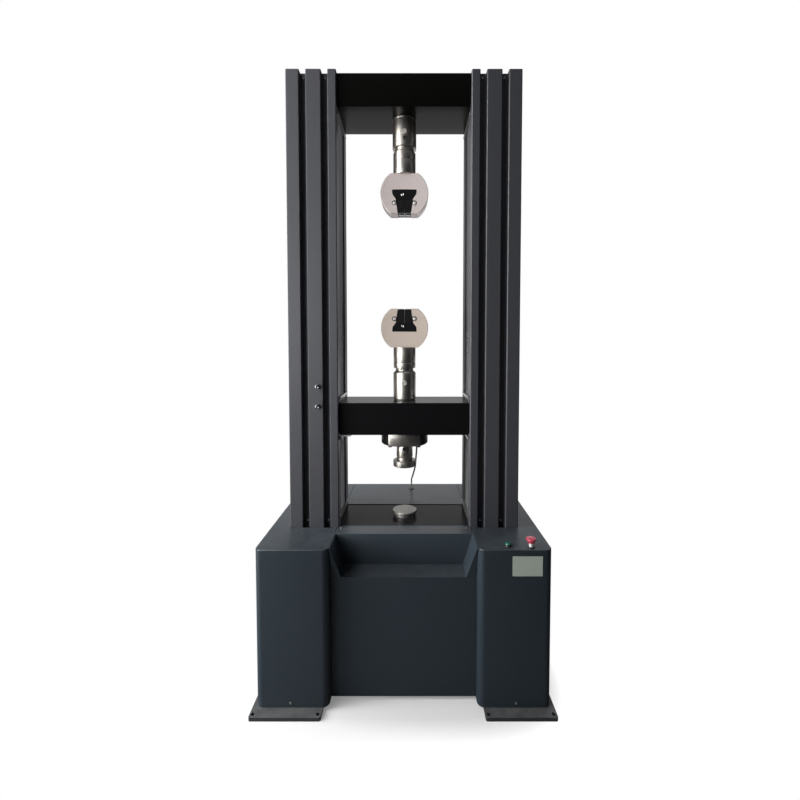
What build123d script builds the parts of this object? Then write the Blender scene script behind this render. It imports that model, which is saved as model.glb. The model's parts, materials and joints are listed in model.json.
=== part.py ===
"""Floor-standing universal testing machine: two columns, a fixed top beam and a moving crosshead.

Millimetres, +Z up, the front faces -Y. The origin is on the floor, in the middle of the outline.
The load train stands on one vertical axis at X = 0, a little in front of the middle of the base.
"""
import os
from math import radians, tan

from build123d import *

os.makedirs("parts", exist_ok=True)

# Overall frame
base_width = 1150
base_depth = 770
base_top_z = 640
machine_height = 2568
sheet = 3
overrun = 5
seat_gap = 0.3
running_gap = 0.05

# Places along the depth, measured back from the front of the towers
axis_setback = 338
front_y = -base_depth / 2
back_y = base_depth / 2
axis_y = front_y + axis_setback

# Columns
column_width = 210
column_side_inset = 83
column_setback = 201
column_depth = 264
column_outer_x = base_width / 2 - column_side_inset
column_inner_x = column_outer_x - column_width
column_front_y = front_y + column_setback
column_back_y = column_front_y + column_depth

# Beams with the tongues that reach into the columns
beam_depth = 234
beam_height = 140
beam_edge_r = 3
beam_front_y = axis_y - beam_depth / 2
beam_back_y = axis_y + beam_depth / 2
beam_bottom_z = machine_height - beam_height
tongue_depth = 124
tongue_inset = 12
tongue_end_gap = 14
tongue_front_y = axis_y - tongue_depth / 2
tongue_back_y = axis_y + tongue_depth / 2
tongue_end_x = column_outer_x - sheet - tongue_end_gap
rest_share = 0.222036
crosshead_bottom_z = base_top_z + rest_share * (beam_bottom_z - base_top_z)
crosshead_end_gap = 3
crosshead_top_z = crosshead_bottom_z + beam_height
tongue_bottom_z = crosshead_bottom_z + tongue_inset
tongue_top_z = crosshead_top_z - tongue_inset

# Screws and posts
screw_inset = 62
screw_x = column_outer_x - screw_inset
screw_r = 25
journal_r = 20
post_inset = 55
post_x = column_inner_x + post_inset
post_r = 30
post_socket = 20

# Base beam
bed_top_z = 612
bed_height = 152
bed_wall = 24
bed_end_gap = 30
bed_half = base_width / 2 - bed_end_gap
bed_bottom_z = bed_top_z - bed_height


def slab(low, high, mode=Mode.ADD):
    """A block between two opposite corners."""
    with Locations(tuple((a + b) / 2 for a, b in zip(low, high))):
        Box(*[abs(b - a) for a, b in zip(low, high)], mode=mode)


def round_bar(x, y, radius, low_z, high_z, mode=Mode.ADD):
    """An upright cylinder at (x, y) between two heights."""
    with Locations((x, y, (low_z + high_z) / 2)):
        Cylinder(radius, high_z - low_z, mode=mode)


def cross_bar(x, z, radius, front, back, mode=Mode.ADD):
    """A cylinder along Y at (x, z), from front to back."""
    with Locations(Location((x, (front + back) / 2, z), (90, 0, 0))):
        Cylinder(radius, back - front, mode=mode)


def write(piece, name):
    """Label a finished piece and write its file."""
    piece.part.label = name
    export_step(piece.part, f"parts/{name}.step")


# Feet: a long plate under each side, with an anchor hole near every corner
foot_thickness = 15
foot_width = 275
foot_inset = 32
foot_inner_x = column_inner_x + foot_inset
foot_overhang = 45
foot_corner = 5
foot_hole_r = 7
foot_hole_side = 13
foot_hole_end = 16
foot_middle_x = foot_inner_x + foot_width / 2
foot_length = base_depth + 2 * foot_overhang
with BuildPart() as feet:
    with BuildSketch():
        with Locations((-foot_middle_x, 0), (foot_middle_x, 0)):
            Rectangle(foot_width, foot_length)
            with GridLocations(foot_width - 2 * foot_hole_side, foot_length - 2 * foot_hole_end, 2, 2):
                Circle(foot_hole_r, mode=Mode.SUBTRACT)
    extrude(amount=foot_thickness)
    chamfer(feet.edges().filter_by(Axis.Z).filter_by(GeomType.LINE), foot_corner)
write(feet, "feet")

# Pedestals: channels open to the middle, so that the drive belt runs through them
pedestal_wall = 12
with BuildPart() as pedestals:
    for side in (-1, 1):
        inner = side * foot_inner_x
        outer = side * bed_half
        slab((inner, beam_front_y, foot_thickness), (outer, beam_back_y, bed_bottom_z))
        slab((inner - side * overrun, beam_front_y + pedestal_wall, foot_thickness),
             (outer - side * pedestal_wall, beam_back_y - pedestal_wall, bed_bottom_z), Mode.SUBTRACT)
write(pedestals, "pedestals")

# Base beam: a ribbed box casting, bored for the screw bearings and the posts
housing_r = 45
housing_flange_r = 58
housing_flange = 15
housing_depth = 60
pocket_count = 4
pocket_pitch = 2 * (post_x - post_r - bed_wall) / pocket_count
with BuildPart() as base_beam:
    slab((-bed_half, beam_front_y, bed_bottom_z), (bed_half, beam_back_y, bed_top_z))
    with BuildSketch(Plane.XY.offset(bed_bottom_z)):
        with Locations((0, axis_y)):
            with GridLocations(pocket_pitch, 0, pocket_count, 1):
                Rectangle(pocket_pitch - bed_wall, beam_depth - 2 * bed_wall)
    extrude(amount=bed_height - bed_wall, mode=Mode.SUBTRACT)
    for side in (-1, 1):
        round_bar(side * screw_x, axis_y, housing_r + seat_gap, bed_bottom_z, bed_top_z, Mode.SUBTRACT)
        round_bar(side * post_x, axis_y, post_r + running_gap, bed_top_z - post_socket,
                  bed_top_z, Mode.SUBTRACT)
write(base_beam, "base_beam")

# Worktable: the ground plate between the columns
worktable_gap = 3
worktable_half = column_inner_x - worktable_gap
worktable_edge = 2
with BuildPart() as worktable:
    slab((-worktable_half, beam_front_y, bed_top_z), (worktable_half, beam_back_y, base_top_z))
    chamfer(worktable.faces().sort_by(Axis.Z)[-1].edges(), worktable_edge)
write(worktable, "worktable")

# Buttons on top of the right tower: places and sizes that the cover's holes follow
button_setback = 33
start_inset = 165
start_x = base_width / 2 - start_inset
start_r = 10
start_travel = 3
start_dome = 7
start_edge = 2.5
start_collar_r = 14
start_collar = 5
estop_inset = 78
estop_x = base_width / 2 - estop_inset
estop_setback = 24
estop_collar_r = 14
estop_collar = 4
estop_stem_r = 8
estop_stem_length = 18
estop_head_r = 20
estop_head_height = 19
estop_travel = 5
button_body_r = 11
button_body = 40

# Base covers: each is a front tower with the side of the base behind it, one shell open inwards
tower_step = 8
tower_inner_x = column_inner_x + tower_step
tower_corner_r = 26
tower_edge = 2
recess_foot_setback = 150
cut_gap = 1
tower_width = base_width / 2 - tower_inner_x
tower_middle_x = tower_inner_x + tower_width / 2
for side, hand in ((-1, "left"), (1, "right")):
    inner = side * tower_inner_x
    with BuildPart() as base_cover:
        with BuildSketch(Plane.XY.offset(foot_thickness)) as tower_plan:
            with Locations((side * tower_middle_x, 0)):
                Rectangle(tower_width, base_depth)
            fillet(tower_plan.vertices().sort_by(Axis.Y)[:2], tower_corner_r)
        extrude(amount=base_top_z - foot_thickness)
        chamfer(base_cover.faces().sort_by(Axis.Z)[-1].edges(), tower_edge)
        with BuildSketch(Plane.XY.offset(foot_thickness)) as hollow_plan:
            with Locations((side * tower_middle_x, 0)):
                Rectangle(tower_width - 2 * sheet, base_depth - 2 * sheet)
            fillet(hollow_plan.vertices().sort_by(Axis.Y)[:2], tower_corner_r - sheet)
        extrude(amount=base_top_z - sheet - foot_thickness, mode=Mode.SUBTRACT)
        slab((inner - side * overrun, front_y + recess_foot_setback, foot_thickness - overrun),
             (inner + side * (sheet + overrun), back_y, base_top_z - sheet), Mode.SUBTRACT)
        slab((inner - side * overrun, back_y - sheet - seat_gap, foot_thickness - overrun),
             (side * (base_width / 2 + overrun), back_y + overrun, base_top_z + overrun), Mode.SUBTRACT)
        slab((side * (column_inner_x - cut_gap), column_front_y - cut_gap, bed_top_z),
             (side * (column_outer_x + cut_gap), column_back_y + cut_gap, base_top_z + overrun),
             Mode.SUBTRACT)
        if side > 0:
            for x, setback in ((start_x, button_setback), (estop_x, estop_setback)):
                round_bar(x, front_y + setback, button_body_r + seat_gap, bed_top_z,
                          base_top_z + overrun, Mode.SUBTRACT)
    write(base_cover, f"base_cover_{hand}")

# Centre panel: a folded sheet between the towers
panel_setback = 52
panel_return = 18
tray_floor_z = 504
tray_wall = 4
panel_half = tower_inner_x - seat_gap
panel_top_z = tray_floor_z - tray_wall - seat_gap
with BuildPart() as centre_panel:
    slab((-panel_half, front_y + panel_setback, foot_thickness),
         (panel_half, front_y + panel_setback + panel_return, panel_top_z))
    slab((sheet - panel_half, front_y + panel_setback + sheet, foot_thickness - overrun),
         (panel_half - sheet, front_y + panel_setback + panel_return + overrun, panel_top_z - sheet),
         Mode.SUBTRACT)
write(centre_panel, "centre_panel")

# Specimen tray: the insert above the panel; its sides slope in towards its floor
recess_setback = 139
tray_side_run = 41
tray_floor_half = tower_inner_x - tray_side_run
tray_cheek_setback = 15
tray_top_half = panel_half - sheet
tray_back_setback = recess_foot_setback + tray_wall
with BuildPart() as specimen_tray:
    with BuildSketch(Plane.YZ) as tray_profile:
        with BuildLine():
            Polyline(
                (front_y + panel_setback, tray_floor_z - tray_wall),
                (front_y + panel_setback, tray_floor_z),
                (front_y + tray_cheek_setback, base_top_z),
                (beam_front_y - seat_gap, base_top_z),
                (beam_front_y - seat_gap, base_top_z - sheet),
                (front_y + tray_back_setback, base_top_z - sheet),
                (front_y + tray_back_setback, tray_floor_z - tray_wall),
                close=True,
            )
        make_face()
    extrude(amount=panel_half, both=True)
    with BuildSketch(Plane.XY.offset(tray_floor_z)):
        with Locations((0, front_y)):
            Rectangle(2 * tray_floor_half, recess_foot_setback, align=(Align.CENTER, Align.MIN))
    with BuildSketch(Plane.XY.offset(base_top_z)):
        with Locations((0, front_y)):
            Rectangle(2 * tray_top_half, recess_setback, align=(Align.CENTER, Align.MIN))
    loft(mode=Mode.SUBTRACT)
    for side in (-1, 1):
        slab((side * (column_inner_x - cut_gap), column_front_y - cut_gap, bed_top_z),
             (side * (panel_half + overrun), beam_front_y, base_top_z + overrun), Mode.SUBTRACT)
write(specimen_tray, "specimen_tray")

# Rear top cover: closes the base behind the worktable
cable_x = 32
cable_inset = 80
cable_y = back_y - cable_inset
cable_r = 4
grommet_r = 9
grommet_flange_r = 14
grommet_flange = 3
top_lip = 20
with BuildPart() as top_cover:
    slab((-panel_half, column_back_y + cut_gap, base_top_z - top_lip),
         (panel_half, back_y - sheet - seat_gap, base_top_z))
    slab((sheet - panel_half, column_back_y + cut_gap + sheet, bed_top_z),
         (panel_half - sheet, back_y - 2 * sheet - seat_gap, base_top_z - sheet), Mode.SUBTRACT)
    round_bar(cable_x, cable_y, grommet_r + seat_gap, bed_top_z,
              base_top_z + overrun, Mode.SUBTRACT)
write(top_cover, "top_cover")

# Rear cover: a flat sheet with two fields of vent slots and the mains inlet's opening
vent_width = 120
vent_height = 6
vent_pitch = 18
vent_rows = 9
vent_inset = 275
vent_x = base_width / 2 - vent_inset
vent_z = 330
inlet_width = 50
inlet_height = 28
inlet_inset = 155
inlet_x = base_width / 2 - inlet_inset
inlet_z = 110
with BuildPart() as rear_cover:
    slab((-base_width / 2 + tower_edge, back_y - sheet, foot_thickness),
         (base_width / 2 - tower_edge, back_y, base_top_z))
    with BuildSketch(Plane.XZ.offset(-back_y)):
        for x in (-vent_x, vent_x):
            with Locations((x, vent_z)):
                with GridLocations(vent_width, vent_pitch, 1, vent_rows):
                    Rectangle(vent_width, vent_height)
        with Locations((inlet_x, inlet_z)):
            Rectangle(inlet_width, inlet_height)
    extrude(amount=sheet, mode=Mode.SUBTRACT)
write(rear_cover, "rear_cover")

# Label plate: bare, on the front of the right tower
label_width = 116
label_height = 78
label_thickness = 1
label_inset = 97
label_x = base_width / 2 - label_inset
label_z = 577
label_corner_r = 2
with BuildPart() as label_plate:
    with BuildSketch(Plane.XZ.offset(-front_y)):
        with Locations((label_x, label_z)):
            RectangleRounded(label_width, label_height, label_corner_r)
    extrude(amount=label_thickness)
write(label_plate, "label_plate")

# Column fronts: profiles with three ribs, two deep slots and hollow chambers
column_front_depth = 50
rib_outer = 56
rib_middle = 64
slot_width = 27
slot_depth = 30
rib_chamfer = 3
profile_wall = 4
rib_inner = column_width - rib_outer - rib_middle - 2 * slot_width
profile_back_y = column_front_y + column_front_depth
outer_slot_x = column_outer_x - rib_outer - slot_width / 2
inner_slot_x = column_inner_x + rib_inner + slot_width / 2
middle_rib_x = (outer_slot_x + inner_slot_x) / 2
chamber_depth = column_front_depth - 2 * profile_wall
knob_shank_r = 4
knob_offset = 9
knob_x = middle_rib_x - knob_offset
knob_heights = (1250, 1165)
rib_spans = (
    (column_inner_x, rib_inner),
    (inner_slot_x + slot_width / 2, rib_middle),
    (column_outer_x - rib_outer, rib_outer),
)
for side, hand in ((-1, "left"), (1, "right")):
    with BuildPart() as column_front:
        with BuildSketch(Plane.XY.offset(bed_top_z)) as front_plan:
            with Locations((side * (column_inner_x + column_width / 2), column_front_y)):
                Rectangle(column_width, column_front_depth, align=(Align.CENTER, Align.MIN))
            with Locations((side * outer_slot_x, column_front_y), (side * inner_slot_x, column_front_y)):
                Rectangle(slot_width, slot_depth, align=(Align.CENTER, Align.MIN), mode=Mode.SUBTRACT)
            chamfer(front_plan.vertices().group_by(Axis.Y)[0], rib_chamfer)
            for start, width in rib_spans:
                with Locations((side * (start + width / 2), column_front_y + profile_wall)):
                    Rectangle(width - 2 * profile_wall, chamber_depth,
                              align=(Align.CENTER, Align.MIN), mode=Mode.SUBTRACT)
        extrude(amount=machine_height - bed_top_z)
        if side < 0:
            for height in knob_heights:
                cross_bar(-knob_x, height, knob_shank_r + running_gap,
                          column_front_y - overrun, profile_back_y + overrun, Mode.SUBTRACT)
    write(column_front, f"column_front_{hand}")

# Column covers: outer side, back, inner return and lid in one folded shell
column_back_depth = 61
column_return = 10
return_front_y = column_back_y - column_back_depth
cover_front_y = profile_back_y + seat_gap
lid_top_z = machine_height
for side, hand in ((-1, "left"), (1, "right")):
    inner = side * column_inner_x
    outer = side * column_outer_x
    with BuildPart() as column_cover:
        slab((inner, cover_front_y, bed_top_z), (outer, column_back_y, lid_top_z))
        slab((inner + side * sheet, cover_front_y - overrun, bed_top_z - overrun),
             (outer - side * sheet, column_back_y - sheet, lid_top_z - sheet), Mode.SUBTRACT)
        slab((inner - side * overrun, cover_front_y - overrun, bed_top_z - overrun),
             (inner + side * (sheet + overrun), return_front_y, lid_top_z - sheet), Mode.SUBTRACT)
        slab((inner, return_front_y, bed_top_z),
             (inner + side * (sheet + column_return), return_front_y + sheet, lid_top_z - sheet))
    write(column_cover, f"column_cover_{hand}")

# Top beam: a deep block whose tongues reach into the columns, seated on the posts
with BuildPart() as top_beam:
    beam_half = column_inner_x - seat_gap
    beam_top_z = machine_height - sheet - seat_gap
    slab((-beam_half, beam_front_y, beam_bottom_z), (beam_half, beam_back_y, beam_top_z))
    fillet(top_beam.edges().filter_by(Axis.X), beam_edge_r)
    slab((-tongue_end_x, tongue_front_y, beam_bottom_z), (tongue_end_x, tongue_back_y, beam_top_z))
    for side in (-1, 1):
        round_bar(side * post_x, axis_y, post_r + running_gap, beam_bottom_z,
                  beam_bottom_z + post_socket, Mode.SUBTRACT)
write(top_beam, "top_beam")

# Guide posts: from the base beam into the top beam
with BuildPart() as guide_posts:
    for side in (-1, 1):
        round_bar(side * post_x, axis_y, post_r, bed_top_z - post_socket, beam_bottom_z + post_socket)
write(guide_posts, "guide_posts")

# Screw bearings: flanged housings in the base beam and under the top beam
top_housing = 46
with BuildPart() as screw_bearings:
    for side in (-1, 1):
        x = side * screw_x
        round_bar(x, axis_y, housing_r, bed_top_z - housing_depth, bed_top_z)
        round_bar(x, axis_y, housing_flange_r, bed_top_z, bed_top_z + housing_flange)
        round_bar(x, axis_y, housing_r, beam_bottom_z - top_housing, beam_bottom_z)
        round_bar(x, axis_y, journal_r + running_gap, bed_top_z - housing_depth,
                  bed_top_z + housing_flange, Mode.SUBTRACT)
        round_bar(x, axis_y, journal_r + running_gap, beam_bottom_z - top_housing,
                  beam_bottom_z, Mode.SUBTRACT)
write(screw_bearings, "screw_bearings")

# Ball screws: each with its belt pulley at the foot
pulley_r = 60
pulley_face = 40
pulley_flange_r = 66
pulley_flange = 3
pulley_drop = 27
belt_clearance = 2
pulley_top_z = bed_bottom_z - pulley_drop
pulley_low_z = pulley_top_z - pulley_face
screw_low_z = bed_top_z + housing_flange + seat_gap
screw_high_z = beam_bottom_z - top_housing - seat_gap
for side, hand in ((-1, "left"), (1, "right")):
    x = side * screw_x
    with BuildPart() as ball_screw:
        round_bar(x, axis_y, journal_r, pulley_low_z, screw_low_z)
        round_bar(x, axis_y, screw_r, screw_low_z, screw_high_z)
        round_bar(x, axis_y, journal_r, screw_high_z, beam_bottom_z - seat_gap)
        round_bar(x, axis_y, pulley_r, pulley_low_z, pulley_top_z)
        round_bar(x, axis_y, pulley_flange_r, pulley_low_z, pulley_low_z + pulley_flange)
        round_bar(x, axis_y, pulley_flange_r, pulley_top_z - pulley_flange, pulley_top_z)
    write(ball_screw, f"ball_screw_{hand}")

# Belt drive: the belt passes round both screw pulleys and, between two idlers, round the motor pulley
motor_setback = 192
motor_pulley_r = 30
motor_pulley_flange_r = 35
belt_thickness = 4
belt_bend_r = 34
idler_spindle_r = 8
belt_gap = 0.15
belt_low_z = pulley_low_z + pulley_flange + belt_clearance
belt_high_z = pulley_top_z - pulley_flange - belt_clearance
belt_width = belt_high_z - belt_low_z
motor_y = axis_y + motor_setback
idler_x = motor_pulley_r + belt_gap + belt_bend_r
idler_y = axis_y + pulley_r + belt_gap + belt_bend_r
idler_r = belt_bend_r - belt_thickness - belt_gap
with BuildPart() as drive_belt:
    with BuildSketch(Plane.XY.offset(belt_low_z)) as belt_outside:
        with Locations((0, axis_y)):
            SlotCenterToCenter(2 * screw_x, 2 * (pulley_r + belt_gap + belt_thickness))
        with Locations((0, motor_y)):
            Circle(motor_pulley_r + belt_gap + belt_thickness)
        with Locations((0, axis_y)):
            Rectangle(2 * (motor_pulley_r + belt_gap + belt_thickness), motor_setback,
                      align=(Align.CENTER, Align.MIN))
        corner = belt_outside.vertices().filter_by_position(
            Axis.Y, axis_y + pulley_r, axis_y + pulley_r + 2 * belt_thickness)
        waist = [v for v in corner if abs(v.X) < 2 * motor_pulley_r]
        fillet(waist, belt_bend_r - belt_thickness)
    extrude(amount=belt_width)
    with BuildSketch(Plane.XY.offset(belt_low_z)) as belt_inside:
        with Locations((0, axis_y)):
            SlotCenterToCenter(2 * screw_x, 2 * (pulley_r + belt_gap))
        with Locations((0, motor_y)):
            Circle(motor_pulley_r + belt_gap)
        with Locations((0, axis_y)):
            Rectangle(2 * (motor_pulley_r + belt_gap), motor_setback, align=(Align.CENTER, Align.MIN))
        corner = belt_inside.vertices().filter_by_position(
            Axis.Y, axis_y + pulley_r - belt_thickness, axis_y + pulley_r + belt_thickness)
        waist = [v for v in corner if abs(v.X) < 2 * motor_pulley_r]
        fillet(waist, belt_bend_r)
    extrude(amount=belt_width, mode=Mode.SUBTRACT)
write(drive_belt, "drive_belt")

# Motor bracket: a plate under the base beam that carries the motor and the idler spindles
bracket_thickness = 15
bracket_half = 110
bracket_overlap = 60
motor_width = 130
motor_height = 156
motor_corner = 12
motor_shaft_r = 12
motor_flange = 12
bracket_front_y = beam_back_y - bracket_overlap
bracket_back_y = motor_y + motor_width / 2 + motor_corner
bracket_low_z = bed_bottom_z - bracket_thickness
with BuildPart() as motor_bracket:
    slab((-bracket_half, bracket_front_y, bracket_low_z), (bracket_half, bracket_back_y, bed_bottom_z))
    round_bar(0, motor_y, motor_pulley_r, bracket_low_z, bed_bottom_z, Mode.SUBTRACT)
    for side in (-1, 1):
        round_bar(side * idler_x, idler_y, idler_spindle_r, belt_low_z, bed_bottom_z)
write(motor_bracket, "motor_bracket")

# Idlers: plain rollers that press on the back of the belt
for side, hand in ((-1, "left"), (1, "right")):
    with BuildPart() as idler:
        round_bar(side * idler_x, idler_y, idler_r, belt_low_z, belt_high_z)
        round_bar(side * idler_x, idler_y, idler_spindle_r + running_gap, belt_low_z,
                  belt_high_z, Mode.SUBTRACT)
    write(idler, f"idler_{hand}")

# Motor pulley with the motor's shaft
shaft_run = 20
with BuildPart() as motor_pulley:
    round_bar(0, motor_y, motor_pulley_r, pulley_low_z, pulley_top_z)
    round_bar(0, motor_y, motor_pulley_flange_r, pulley_low_z, pulley_low_z + pulley_flange)
    round_bar(0, motor_y, motor_shaft_r, pulley_top_z, bed_bottom_z + shaft_run)
write(motor_pulley, "motor_pulley")

# Servo motor: square body with chamfered corners, front flange and a smaller rear cap
cap_inset = 12
cap_height = 34
with BuildPart() as servo_motor:
    slab((-motor_width / 2, motor_y - motor_width / 2, bed_bottom_z),
         (motor_width / 2, motor_y + motor_width / 2, bed_bottom_z + motor_flange))
    slab((cap_inset / 2 - motor_width / 2, motor_y + cap_inset / 2 - motor_width / 2,
          bed_bottom_z + motor_flange),
         (motor_width / 2 - cap_inset / 2, motor_y + motor_width / 2 - cap_inset / 2,
          bed_bottom_z + motor_height - cap_height))
    chamfer(servo_motor.edges().filter_by(Axis.Z), motor_corner)
    round_bar(0, motor_y, motor_width / 2 - cap_inset, bed_bottom_z + motor_height - cap_height,
              bed_bottom_z + motor_height)
    round_bar(0, motor_y, motor_shaft_r + running_gap, bed_bottom_z - overrun,
              bed_bottom_z + shaft_run + seat_gap, Mode.SUBTRACT)
write(servo_motor, "servo_motor")

# Controller box: the drive amplifier's case, standing on the right foot plate
box_width = 200
box_height = 320
box_gap = 25
box_corner = 6
box_front_gap = 107
box_back_y = back_y - sheet - box_gap
box_depth = box_back_y - beam_back_y - box_front_gap
with BuildPart() as controller_box:
    with BuildSketch(Plane.XY.offset(foot_thickness)) as box_plan:
        with Locations((foot_middle_x, box_back_y)):
            Rectangle(box_width, box_depth, align=(Align.CENTER, Align.MAX))
        chamfer(box_plan.vertices(), box_corner)
    extrude(amount=box_height)
write(controller_box, "controller_box")

# Crosshead: block and tongues, bored for the nuts and the bushes
nut_r = 42
nut_flange_r = 52
nut_flange = 14
bush_r = 40
screw_clearance = 2
crosshead_half = column_inner_x - crosshead_end_gap
with BuildPart() as crosshead:
    slab((-crosshead_half, beam_front_y, crosshead_bottom_z),
         (crosshead_half, beam_back_y, crosshead_top_z))
    fillet(crosshead.edges().filter_by(Axis.X), beam_edge_r)
    slab((-tongue_end_x, tongue_front_y, tongue_bottom_z), (tongue_end_x, tongue_back_y, tongue_top_z))
    for side in (-1, 1):
        round_bar(side * screw_x, axis_y, nut_r + seat_gap, tongue_bottom_z, tongue_top_z,
                  Mode.SUBTRACT)
        round_bar(side * post_x, axis_y, bush_r + seat_gap, tongue_bottom_z, tongue_top_z,
                  Mode.SUBTRACT)
write(crosshead, "crosshead")

with BuildPart() as ball_nuts:
    for side in (-1, 1):
        round_bar(side * screw_x, axis_y, nut_r, tongue_bottom_z, tongue_top_z)
        round_bar(side * screw_x, axis_y, nut_flange_r, tongue_bottom_z - nut_flange, tongue_bottom_z)
        round_bar(side * screw_x, axis_y, screw_r + running_gap, tongue_bottom_z - nut_flange,
                  tongue_top_z, Mode.SUBTRACT)
write(ball_nuts, "ball_nuts")

with BuildPart() as guide_bushes:
    for side in (-1, 1):
        round_bar(side * post_x, axis_y, bush_r, tongue_bottom_z, tongue_top_z)
        round_bar(side * post_x, axis_y, post_r + running_gap, tongue_bottom_z, tongue_top_z,
                  Mode.SUBTRACT)
write(guide_bushes, "guide_bushes")

# Bellows: pleated curtains on the inner side of both columns, above and below the crosshead
pleat_depth = 12
pleat_inset = 4
pleat_skin = 1
pleat_pitch = 30
bellows_margin = 3
plate_thickness = 8
plate_lip = 6
plate_body = 20
upper_ledge = 27
lower_ledge = 20
end_ledge = 24
low_ledge = 60
top_plate_z = beam_bottom_z - end_ledge - plate_thickness
low_plate_z = bed_top_z + low_ledge
bellows_front_y = profile_back_y + bellows_margin
bellows_back_y = return_front_y - bellows_margin
lip_front_y = column_front_y + column_front_depth / 2
lip_back_y = column_back_y - column_back_depth / 2
ledge_top_z = crosshead_top_z + upper_ledge
ledge_low_z = crosshead_bottom_z - lower_ledge


def bellows(low_z, high_z):
    """A pair of pleated curtains between two heights, one inside each column's opening."""
    pleats = round((high_z - low_z) / pleat_pitch)
    step = (high_z - low_z) / (2 * pleats)
    folds = []
    for i in range(2 * pleats + 1):
        fold_x = column_inner_x + pleat_inset + (pleat_depth if i % 2 else 0)
        folds.append((fold_x, low_z + i * step))
    backs = [(x + pleat_skin, z) for x, z in reversed(folds)]
    with BuildPart() as curtains:
        with BuildSketch(Plane.XZ.offset(-bellows_front_y)) as pleat_plan:
            with BuildLine():
                Polyline(*folds, *backs, close=True)
            make_face()
            mirror(about=Plane.YZ)
        extrude(amount=bellows_front_y - bellows_back_y)
    return curtains


write(bellows(ledge_top_z + seat_gap, top_plate_z - seat_gap), "bellows_upper")
write(bellows(low_plate_z + plate_thickness + seat_gap, ledge_low_z - seat_gap), "bellows_lower")


def end_plate(side, low_z):
    """A bellows end plate: a body in the column's opening and a lip along its inner face."""
    inner = side * (column_inner_x + pleat_inset / 2)
    lip = side * (column_inner_x - seat_gap)
    slab((lip, bellows_front_y, low_z), (inner + side * plate_body, bellows_back_y, low_z + plate_thickness))
    slab((lip - side * plate_lip, lip_front_y, low_z), (lip, lip_back_y, low_z + plate_thickness))


with BuildPart() as bellows_plates:
    for side in (-1, 1):
        inner = side * (column_inner_x + seat_gap)
        end_plate(side, ledge_top_z - plate_thickness)
        end_plate(side, ledge_low_z)
        slab((inner, bellows_front_y + bellows_margin, tongue_top_z),
             (inner + side * plate_thickness, bellows_back_y - bellows_margin, ledge_top_z))
        slab((inner, bellows_front_y + bellows_margin, ledge_low_z),
             (inner + side * plate_thickness, bellows_back_y - bellows_margin, tongue_bottom_z))
write(bellows_plates, "bellows_plates")

with BuildPart() as bellows_ends:
    for side in (-1, 1):
        end_plate(side, top_plate_z)
        end_plate(side, low_plate_z)
        inner = side * (column_inner_x + seat_gap)
        slab((inner, bellows_front_y + bellows_margin, top_plate_z),
             (inner + side * plate_thickness, bellows_back_y - bellows_margin, beam_bottom_z))
        slab((inner, bellows_front_y + bellows_margin, bed_top_z),
             (inner + side * plate_thickness, bellows_back_y - bellows_margin, low_plate_z))
write(bellows_ends, "bellows_ends")

# Striker bracket: an angle with a bolt under the left end of the crosshead
striker_width = 44
striker_depth = 30
striker_height = 26
striker_wall = 6
striker_bolt_r = 6
striker_left = plate_lip + 2 * seat_gap - column_inner_x
with BuildPart() as striker_bracket:
    slab((striker_left, beam_front_y + beam_edge_r, crosshead_bottom_z - striker_wall),
         (striker_left + striker_width, beam_front_y + beam_edge_r + striker_depth, crosshead_bottom_z))
    slab((striker_left, beam_front_y + beam_edge_r, crosshead_bottom_z - striker_height),
         (striker_left + striker_wall, beam_front_y + beam_edge_r + striker_depth, crosshead_bottom_z))
    round_bar(striker_left + striker_width / 2, beam_front_y + beam_edge_r + striker_depth / 2,
              striker_bolt_r, crosshead_bottom_z - 2 * striker_wall, crosshead_bottom_z)
write(striker_bracket, "striker_bracket")

# Limit rod: stands behind the left column's middle rib and carries two collars
limit_rod_r = 5
collar_r = 11
collar_height = 18
rod_y = profile_back_y + collar_r + seat_gap
with BuildPart() as limit_rod:
    round_bar(-knob_x, rod_y, limit_rod_r, bed_top_z, beam_bottom_z)
    for height in knob_heights:
        round_bar(-knob_x, rod_y, collar_r, height - collar_height / 2, height + collar_height / 2)
write(limit_rod, "limit_rod")

# Limit knobs: thumb knobs whose shanks pass through the rib to the collars
knob_r = 9.5
knob_length = 14
knob_edge = 1.5
for name, height in zip(("limit_knob_upper", "limit_knob_lower"), knob_heights):
    with BuildPart() as limit_knob:
        cross_bar(-knob_x, height, knob_r, column_front_y - knob_length, column_front_y - seat_gap)
        chamfer(limit_knob.edges().filter_by(GeomType.CIRCLE).sort_by(Axis.Y)[0], knob_edge)
        cross_bar(-knob_x, height, knob_shank_r, column_front_y - seat_gap, profile_back_y)
    write(limit_knob, name)

# Couplings: turned adapters between the beams and the grips, each with a necked waist
upper_coupling_r = 53
upper_coupling_length = 138
upper_neck_r = 43
upper_neck = 22
upper_ring_r = 50
upper_ring = 83
lower_coupling_r = 51
lower_coupling_length = 128
lower_neck_r = 40
lower_neck = 20
lower_ring_r = 50
lower_ring = 91
neck_chamfer = 4
cross_pin_r = 12.5
cross_pin_stand = 1.5
lower_pin_rise = 80


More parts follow.
